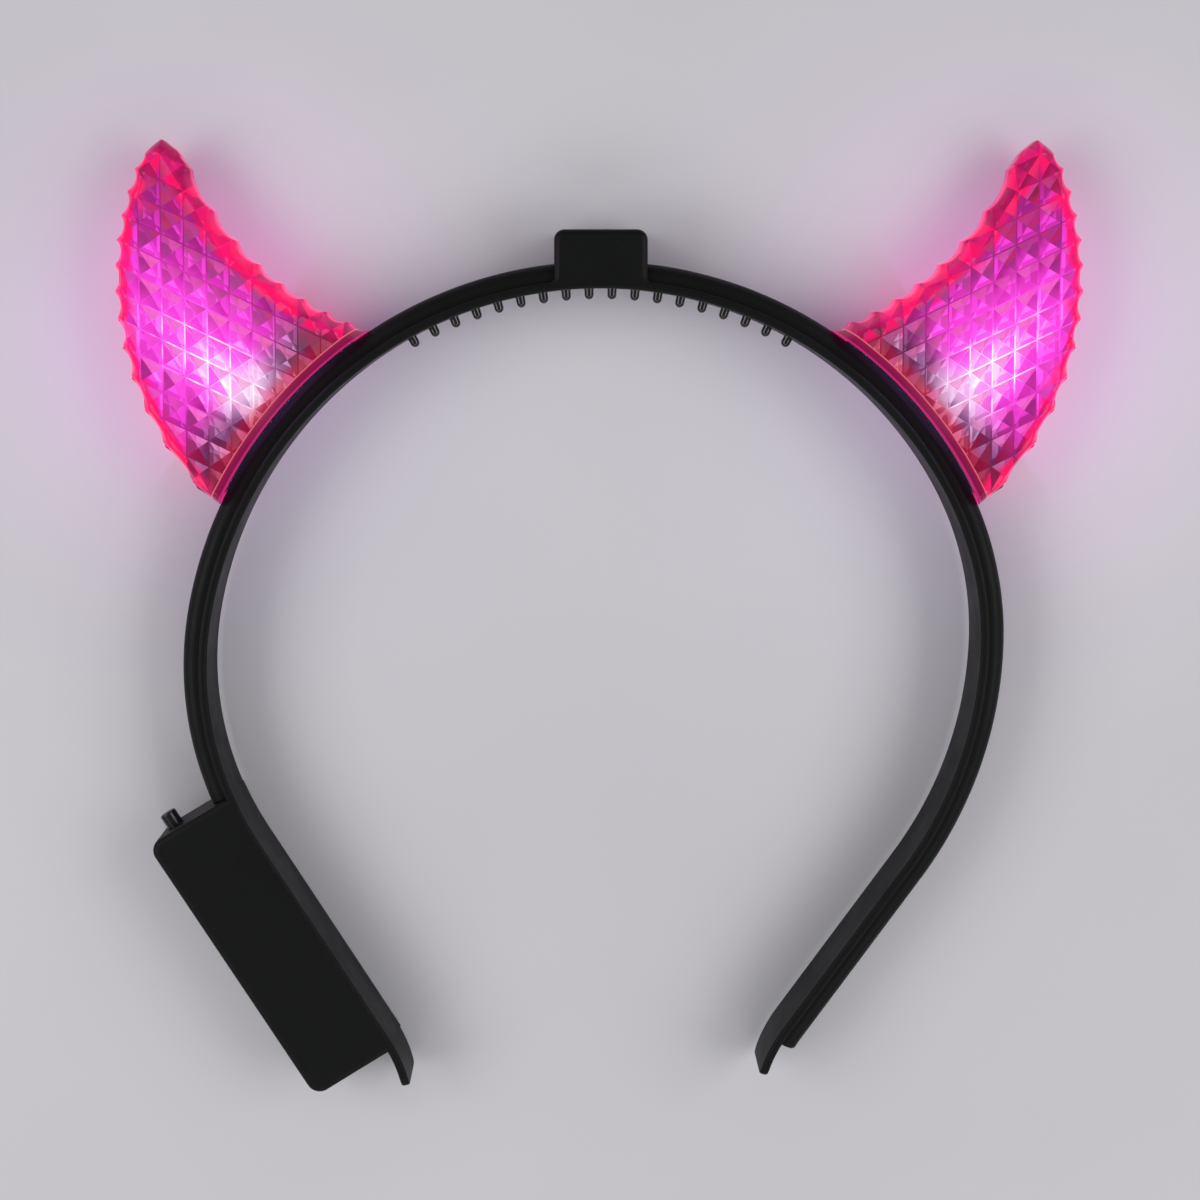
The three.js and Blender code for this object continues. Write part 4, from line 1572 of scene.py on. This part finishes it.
@dataclass(frozen=True)
class CellField:
    """Field of four-sided recesses, drawn on the right-hand side; whole numbers are on its ridges."""

    width: float = 4.12
    height: float = 4.77
    drop: float = 1.97
    x: float = 83.8
    y: float = 79.4

    def place(self, point: Vector) -> tuple[float, float]:
        """Column and row of a point."""
        column = (self.x - point.x) / self.width
        return column, (point.y - self.y + self.drop * column) / self.height

    def point(self, column: float, row: float) -> Vector:
        """Point at a column and row."""
        return Vector((self.x - self.width * column, self.y + self.height * row - self.drop * column))

    def steps(self, side: Side) -> tuple[Vector, Vector, float, float]:
        """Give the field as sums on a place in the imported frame.

        Args:
            side: Side of the head that the horn is on.

        Returns:
            Columns and rows for each metre along X and Y, and the column and row at the origin.
        """
        columns = Vector((-side.value / (self.width * MM), 0.0, 0.0))
        slope = self.drop / self.height
        rows = Vector((slope * columns.x, 1 / (self.height * MM), 0.0))
        column = self.x / self.width
        row = (-CENTRE_Y - self.y) / self.height + slope * column
        return columns, rows, column, row


@dataclass(frozen=True)
class Circle:
    """Circle of the horn's outline."""

    x: float
    y: float
    radius: float

    @property
    def centre(self) -> Vector:
        """Centre of the circle."""
        return Vector((self.x, self.y))


@dataclass
class Horn:
    """Hollow horn with a faceted face in front and behind, drawn on the right-hand side."""

    side: Side
    arm: Arm
    cells: CellField = CellField()
    outer: Circle = Circle(33.3, 73.1, 54.6)
    inner: Circle = Circle(26.2, 115.5, 54.0)
    outer_from: float = -62.0
    inner_to: float = -85.0
    tip_radius: float = 3.2
    wall: float = 2.0
    base: float = RIB_HEIGHT + HORN_GAP
    rim: float = 1.6
    rim_step: float = 0.2
    side_share: float = 0.5
    # Width along the outer and along the inner edge
    border: tuple[float, float] = (1.7, 2.5)
    glow_stretch: float = 1.65
    border_rings: tuple[float, ...] = (0.11, 0.26, 0.44, 0.67, 1.0)
    border_bend: float = 2.2
    recess: float = 0.9
    ridge_flat: float = 0.03
    spike: float = 0.85
    spike_bend: float = 2.2
    base_distance: float = 78.0
    base_half: float = 8.0
    tip_distance: float = 126.0
    tip_half: float = 4.6
    outline_step: float = 0.32
    deepest_inset: float = 0.9
    lean_step: float = 0.005
    # Tolerances of the border over the cells, of the plan's points and of the base line
    hair: float = 1e-4
    same_point: float = 1e-5
    base_margin: float = 0.01
    # Distances along the arm that the base is drawn between
    base_reach: tuple[int, int] = (25, 110)
    columns: tuple[int, int] = (-2, 14)
    rows: tuple[int, int] = (-9, 7)

    @cached_property
    def tip(self) -> tuple[Circle, float, float]:
        """Fit the round tip, which touches both circles.

        Returns:
            Circle of the tip, and the angles in degrees where it touches the outer and the inner one.
        """
        to_outer = self.outer.radius - self.tip_radius
        to_inner = self.inner.radius + self.tip_radius
        apart = self.inner.centre - self.outer.centre
        along = (apart.length_squared + to_outer ** 2 - to_inner ** 2) / (2 * apart.length)
        aside = math.sqrt(to_outer ** 2 - along ** 2)
        ahead = apart.normalized()
        centre = self.outer.centre + along * ahead + aside * Vector((ahead.y, -ahead.x))
        away = centre - self.outer.centre
        toward = self.inner.centre - centre
        circle = Circle(centre.x, centre.y, self.tip_radius)
        return circle, math.degrees(math.atan2(away.y, away.x)), math.degrees(math.atan2(toward.y, toward.x))

    def edge_near(self, point: Vector) -> tuple[float, float, bool]:
        """Look for the nearest edge.

        Args:
            point: Point of the horn's plane.

        Returns:
            Distance inside the smooth outline, width of the border there, and whether columns end there.
        """
        tip, start, end = self.tip
        outer_width, inner_width = self.border
        away = point - tip.centre
        angle = math.degrees(math.atan2(away.y, away.x))
        if start <= angle <= end:
            share = (angle - start) / (end - start)
            return tip.radius - away.length, outer_width + share * (inner_width - outer_width), True
        to_outer = self.outer.radius - (point - self.outer.centre).length
        to_inner = (point - self.inner.centre).length - self.inner.radius
        if to_inner / inner_width < to_outer / outer_width:
            return to_inner, inner_width, True
        return to_outer, outer_width, False

    def spike_at(self, point: Vector, columns_end: bool) -> float:
        """Find how far the edge stands out, as it does where a ridge runs into it.

        Args:
            point: Point at the edge.
            columns_end: Whether columns end there, and not rows.

        Returns:
            Height of the spike.
        """
        column, row = self.cells.place(point)
        place = column if columns_end else row
        return self.spike * max(1 - 2 * abs(place - round(place)), 0.0) ** self.spike_bend

    def inward(self, point: Vector, stretch: float = 1.0) -> float:
        """Find how far in over the border a point is.

        Args:
            point: Point of the horn's plane.
            stretch: Factor on the border's width.

        Returns:
            Share of the way, from 0 on the spiked outline to 1 where the border ends.
        """
        distance, width, columns_end = self.edge_near(point)
        spike = self.spike_at(point, columns_end)
        return min(max((distance + spike) / (stretch * width + spike), 0.0), 1.0)

    def half_depth(self, point: Vector) -> float:
        """Half of the horn's depth over a point of its plane."""
        share = (point.length - self.base_distance) / (self.tip_distance - self.base_distance)
        return min(self.base_half + share * (self.tip_half - self.base_half), self.base_half)

    def within_cell(self, point: Vector) -> float:
        """Distance in from a cell's ridges: 0 on a ridge and 0.5 at the cell's centre."""
        column, row = self.cells.place(point)
        return min(abs(column - round(column)), abs(row - round(row)))

    def chance_of(self, point: Vector) -> float:
        """Draw the chance value of a facet.

        Args:
            point: Point of the horn's plane in the facet.

        Returns:
            Value from -1 to 1, the same all over the facet.
        """
        column, row = self.cells.place(point)
        right, up = column % 1 - 0.5, row % 1 - 0.5
        facet = (right > 0) if abs(right) > abs(up) else 2 + (up > 0)
        seed = f"{self.side.word} {math.floor(column)} {math.floor(row)} {int(facet)}"
        return random.Random(seed).uniform(-1.0, 1.0)

    def drop(self, point: Vector) -> float:
        """Find the depth of the cells' recess.

        Args:
            point: Point of the horn's plane.

        Returns:
            Depth, which is 0 on the ridges and on the rim.
        """
        if self.arm.height_over(point) < self.base + self.rim + self.rim_step / 2:
            return 0.0
        slope = (self.within_cell(point) - self.ridge_flat) / (0.5 - self.ridge_flat)
        return self.recess * max(slope, 0.0)

    def lean(self, point: Vector) -> Vector:
        """Find how the facet under a point leans.

        Args:
            point: Point of the horn's plane.

        Returns:
            Sideways part of the facet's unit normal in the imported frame.
        """
        height = self.half_depth(point) - self.drop(point)
        slopes = []
        for way in (Vector((self.lean_step, 0.0)), Vector((0.0, self.lean_step))):
            beside = point + way
            slopes.append((height - self.half_depth(beside) + self.drop(beside)) / self.lean_step)
        across, up = slopes
        return Vector((self.side.value * across, up, 0.0)) / math.sqrt(1 + across ** 2 + up ** 2)

    def edge_height(self, point: Vector) -> float:
        """Height of the border over a point."""
        rise = 1 - (1 - self.inward(point)) ** self.border_bend
        return self.half_depth(point) * (self.side_share + (1 - self.side_share) * rise)

    def height(self, point: Vector) -> float:
        """Height of the faceted face over the horn's middle plane."""
        return min(self.half_depth(point) - self.drop(point), self.edge_height(point))

    def on_border(self, point: Vector) -> bool:
        """Whether the face over a point is the border's, which is lower than the cells there."""
        return self.half_depth(point) - self.drop(point) > self.edge_height(point) + self.hair

    def outline(self, share: float, wall: float = 0.0) -> list[Vector]:
        """Draw the outline from the outer foot over the tip to the inner foot.

        Args:
            share: Share of the way in over the border.
            wall: Distance in from the smooth outline, for the cavity.

        Returns:
            Points of the open line.
        """
        tip, tip_start, tip_end = self.tip
        outer_width, inner_width = self.border
        arcs = (
            (self.outer, self.outer_from, tip_start, 1, outer_width, outer_width),
            (tip, tip_start, tip_end, 1, outer_width, inner_width),
            (self.inner, tip_end - 180, self.inner_to, -1, inner_width, inner_width),
        )
        points = []
        for circle, start, end, outward, first_width, last_width in arcs:
            steps = math.ceil(abs(math.radians(end - start)) * circle.radius / self.outline_step)
            for step in range(steps):
                angle = math.radians(start + (end - start) * step / steps)
                way = Vector((math.cos(angle), math.sin(angle)))
                foot = circle.centre + circle.radius * way
                width = first_width + (last_width - first_width) * step / steps
                inset = min(wall + share * width, self.deepest_inset * circle.radius)
                spike = 0.0 if wall else self.spike_at(foot, circle is not self.outer)
                points.append(foot + outward * (spike * (1 - share) - inset) * way)
        return points

    def over_band(self, height: float) -> list[Vector]:
        """Line at a height over the strip, long enough to cross the horn."""
        return [self.arm.beside(distance, height) for distance in range(*self.base_reach)]

    def ridge_lines(self) -> list[list[Vector]]:
        """Draw the cells.

        Returns:
            Lines along both edges of each ridge and along each cell's diagonals.
        """
        lines = []
        flat = self.ridge_flat
        for column in range(self.columns[0], self.columns[1] + 1):
            for aside in (-flat, flat):
                lines.append([self.cells.point(column + aside, row) for row in self.rows])
        for row in range(self.rows[0], self.rows[1] + 1):
            for aside in (-flat, flat):
                lines.append([self.cells.point(column, row + aside) for column in self.columns])
        for column in range(*self.columns):
            for row in range(*self.rows):
                if self.edge_near(self.cells.point(column + 0.5, row + 0.5))[0] < -self.cells.height:
                    continue
                lines.append([self.cells.point(column, row), self.cells.point(column + 1, row + 1)])
                lines.append([self.cells.point(column + 1, row), self.cells.point(column, row + 1)])
        return lines

    def net(self, faceted: bool) -> tuple[list[Vector], list[Sequence[int]]]:
        """Cut the horn's plan into triangles along its outline, border, ridges and base.

        Args:
            faceted: Whether it is the faceted outside or the smooth cavity.

        Returns:
            Points of the plan and the corners of each triangle.
        """
        edge = self.outline(0.0, 0.0 if faceted else self.wall)
        lines = [self.over_band(self.base)]
        if faceted:
            lines += [self.outline(share) for share in self.border_rings]
            lines += [self.over_band(self.base + self.rim + step) for step in (0.0, self.rim_step)]
            lines += self.ridge_lines()
        else:
            coarse = range(self.columns[0], self.columns[1] + 1, 2)
            lines += [[self.cells.point(column, row) for row in self.rows] for column in coarse]
        points = list(edge)
        links = []
        for line in lines:
            links += [(len(points) + step, len(points) + step + 1) for step in range(len(line) - 1)]
            points += line
        cut = delaunay_2d_cdt(points, links, [list(range(len(edge)))], 0, self.same_point, True)
        plan, faces, sources = cut[0], cut[2], cut[5]
        kept = []
        for corners, source in zip(faces, sources):
            middle = middle_of([plan[corner] for corner in corners])
            if source and self.arm.height_over(middle) > self.base:
                kept.append(corners)
        return plan, kept

    def add_shell(self, shape: bmesh.types.BMesh, faceted: bool) -> None:
        """Add the outside or the cavity to a mesh: both faces and the wall between them.

        Args:
            shape: Mesh that is being made, with the horn's layers.
            faceted: Whether it is the faceted outside or the smooth cavity.
        """
        tilt = shape.faces.layers.float_vector["tilt"]
        ridge = shape.faces.layers.float["ridge"]
        chance = shape.faces.layers.float["chance"]
        border = shape.verts.layers.float["border"]
        rise = shape.verts.layers.float["rise"]
        plan, triangles = self.net(faceted)
        used = sorted({corner for triangle in triangles for corner in triangle})
        sheets = []
        for sign in (1, -1):
            sheet = {}
            for corner in used:
                point = plan[corner]
                height = self.height(point) if faceted else self.half_depth(point) - self.wall
                vertex = shape.verts.new(to_row(self.side.value * point.x, point.y, MID_Z + sign * height))
                vertex[border] = 1 - self.inward(point, self.glow_stretch) if faceted else 0.0
                vertex[rise] = self.arm.height_over(point) - self.base
                sheet[corner] = vertex
            sheets.append(sheet)
        open_edges: dict[tuple[int, int], tuple[int, int]] = {}
        for triangle in triangles:
            middle = middle_of([plan[corner] for corner in triangle])
            smooth = any(self.on_border(plan[corner]) for corner in triangle)
            in_rim = self.arm.height_over(middle) < self.base + self.rim
            on_ridge = self.within_cell(middle) < self.ridge_flat
            lean = Vector() if on_ridge else self.lean(middle)
            for sheet, sign in zip(sheets, (1, -1)):
                face = shape.faces.new([sheet[corner] for corner in triangle][::sign])
                face.smooth = not faceted or smooth and not in_rim
                if faceted and not in_rim:
                    face[ridge] = 1.0 if on_ridge else 0.0
                    face[tilt] = lean
                    face[chance] = self.chance_of(middle)
            for pair in zip(triangle, (*triangle[1:], triangle[0])):
                key = (min(pair), max(pair))
                if open_edges.pop(key, None) is None:
                    open_edges[key] = pair
        for start, end in open_edges.values():
            heights = [self.arm.height_over(plan[corner]) for corner in (start, end)]
            if max(heights) > self.base + self.base_margin:
                front, back = sheets
                wall = shape.faces.new((front[start], front[end], back[end], back[start]))
                wall.smooth = True

    def build(self, finish: bpy.types.Material) -> bpy.types.Object:
        """Make the hollow horn and hand it in.

        Args:
            finish: Material of the horn.

        Returns:
            The piece.
        """
        shape = bmesh.new()
        shape.faces.layers.float_vector.new("tilt")
        for layer in ("ridge", "chance"):
            shape.faces.layers.float.new(layer)
        for layer in ("border", "rise"):
            shape.verts.layers.float.new(layer)
        for faceted in (True, False):
            self.add_shell(shape, faceted)
        rims = [edge for edge in shape.edges if edge.is_boundary]
        bmesh.ops.bridge_loops(shape, edges=rims)
        bmesh.ops.dissolve_degenerate(shape, dist=SLIVER, edges=shape.edges)
        bmesh.ops.recalc_face_normals(shape, faces=shape.faces)
        name = f"jelly_horn_{self.side.word}"
        piece = link_object(name, mesh_of(shape, name))
        return hand_in(piece, Body.HEADBAND, finish, f"horn_{self.side.word}")


# Studio


@dataclass
class Studio:
    """Camera, floor and soft light."""

    target: tuple[float, float, float] = (-0.18, 5.22, 15.0)
    toward_camera: tuple[float, float, float] = (-0.01318, 0.13179, 1.0)
    distance: float = 424.24
    lens: float = 68.98
    sensor: float = 36.0
    nearest: float = 10.0
    floor_half: float = 4000.0
    floor_drop: float = 0.2
    floor_colour: str = "#dcdadd"
    floor_shade: str = "#d4d2d6"
    floor_cloud: float = 1000 / 6
    floor_span: tuple[float, float] = (0.3, 0.7)
    light_aim: tuple[float, float, float] = (0.0, 20.0, 0.0)
    spill_energy: float = 0.042
    spill_colour: str = "#d79cff"
    spill_size: float = 8.0
    spill_ahead: float = 18.0
    sky_colour: str = "#b8b8bc"
    sky_strength: float = 0.5

    def camera(self) -> None:
        """Set the camera at the photograph's angle, with +Y up in the picture."""
        data = bpy.data.cameras.new("camera")
        data.lens = self.lens
        data.sensor_width = self.sensor
        data.clip_start = self.nearest * MM
        camera = link_object("camera", data)
        back = Vector(self.toward_camera).normalized()
        right = (-back).cross(Vector((0.0, 1.0, 0.0))).normalized()
        up = back.cross(right)
        place = (Vector(self.target) + self.distance * back) * MM
        camera.matrix_world = Matrix.Translation(place) @ Matrix((right, up, back)).transposed().to_4x4()
        bpy.context.scene.camera = camera

    def floor(self) -> None:
        """Lay a pale painted board under the headband."""
        half = self.floor_half * MM
        z = -self.floor_drop * MM
        mesh = bpy.data.meshes.new("floor")
        corners = [(-half, -half, z), (half, -half, z), (half, half, z), (-half, half, z)]
        mesh.from_pydata(corners, [], [(0, 1, 2, 3)])
        floor = link_object("floor", mesh)
        material, tree, shader = new_material("matt_paint_board")
        place = add_node(tree, "ShaderNodeTexCoord").outputs["Object"]
        cloud = add_node(tree, "ShaderNodeTexNoise", {
            "Vector": place, "Scale": 1 / (self.floor_cloud * MM), "Detail": 3.0,
        })
        tints = tuple(zip(self.floor_span, (self.floor_colour, self.floor_shade)))
        feed(tree, shader, {
            "Roughness": 0.85,
            "Specular IOR Level": 0.2,
            "Base Color": add_node(tree, "ShaderNodeValToRGB", {0: cloud}, stops=tints),
        })
        mesh.materials.append(material)

    def soft_box(self, name: str, place: Sequence[float], size: tuple[float, float], radiance: float) -> None:
        """Hang a soft box that faces the headband.

        Args:
            name: Name of the light.
            place: Place of its middle in metres.
            size: Width and height in metres.
            radiance: Brightness of its face.
        """
        data = bpy.data.lights.new(name, "AREA")
        data.shape = "RECTANGLE"
        data.size, data.size_y = size
        data.energy = radiance * math.pi * size[0] * size[1]
        light = link_object(name, data)
        aim = MM * Vector(self.light_aim) - Vector(place)
        light.matrix_world = Matrix.Translation(place) @ aim.to_track_quat("-Z", "Y").to_matrix().to_4x4()
        light.visible_camera = False

    def lamp_spill(self, side: Side, lamp: Vector, aim: float) -> None:
        """Let a lamp's light spill on the floor around its horn.

        Args:
            side: Side of the head that the lamp is on.
            lamp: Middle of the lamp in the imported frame.
            aim: Angle in radians that it points along.
        """
        data = bpy.data.lights.new(f"lamp_spill_{side.word}", "POINT")
        data.energy = self.spill_energy
        data.color = linear(self.spill_colour)[:3]
        data.shadow_soft_size = self.spill_size * MM
        data.use_shadow = False
        light = link_object(data.name, data)
        light.location = lamp + self.spill_ahead * MM * Vector((math.cos(aim), math.sin(aim), 0.0))
        light.visible_camera = False

    def build(self) -> None:
        """Set up the whole studio."""
        self.camera()
        self.floor()
        self.soft_box("near_box", (0.0, -0.7, 0.6), (1.4, 0.4), 1.3)
        self.soft_box("left_box", (-0.64, 0.05, 0.6), (0.8, 0.5), 2.3)
        self.soft_box("right_box", (0.64, 0.05, 0.6), (0.8, 0.5), 2.3)
        world = bpy.data.worlds.new("studio")
        world.use_nodes = True
        sky = world.node_tree.nodes["Background"]
        feed(world.node_tree, sky, {"Color": linear(self.sky_colour), "Strength": self.sky_strength})
        bpy.context.scene.world = world
        bpy.context.scene.view_settings.view_transform = "Standard"


def lamp_place(side: Side) -> tuple[Vector, float]:
    """Find a horn's lamp.

    Args:
        side: Side of the head.

    Returns:
        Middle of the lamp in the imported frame, and the angle in radians that it points along.
    """
    low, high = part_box(f"led_{side.word}")
    middle = (low + high) / 2
    away = middle - to_row(0.0, 0.0, MID_Z)
    return middle, math.atan2(away.y, away.x)


def main() -> None:
    """Build the studio, then each piece of the headband in order."""
    logging.basicConfig(level=logging.INFO, format="%(name)s: %(message)s")
    studio = Studio()
    studio.build()
    path = BandPath()
    black = MouldedAbs("abs_satin_black").material()
    Band(path).build(black)
    box = CrownBox()
    case = BatteryCase(path.left)
    rib_start = box.width / 2 - RIB_LAP
    left_end = path.left.jaw_start - case.lead + RIB_LAP
    right_end = path.right.jaw_start + path.right.jaw.length + RIB_TAIL
    for side, rib_end in ((Side.LEFT, left_end), (Side.RIGHT, right_end)):
        WireCover(path, side, rib_start, rib_end).build(black)
    box.build(black)
    case.build(black)
    gloss = MouldedAbs(
        "abs_gloss_black", "#0c0d0d", "#121313", shine=0.5, smooth=0.16, rough=0.24, grain_height=0.003
    )
    PushButton().build(gloss.material())
    plug = MilkyPolythene("polythene_milky").material()
    for side in Side:
        lamp, aim = lamp_place(side)
        jelly = JellyPvc(f"pvc_pink_jelly_{side.word}", side, lamp, aim)
        if side is Side.RIGHT:
            # In the right horn the bright spot is a little further out, and wider towards the outer edge.
            jelly = replace(jelly, spot=replace(jelly.spot, middle=6.5, inner=1.8, outer=1.5, reach=21.0))
        Horn(side, path.arm(side)).build(jelly.material())
        lens = EpoxyLens(f"epoxy_lens_{side.word}", lamp, aim).material()
        for node, finish in ((f"horn_seat_{side.word}", plug), (f"led_{side.word}", lens)):
            mesh = frame["nodes"][node].data
            mesh.materials.clear()
            mesh.materials.append(finish)
        studio.lamp_spill(side, lamp, aim)


if __name__ == "__main__":
    main()
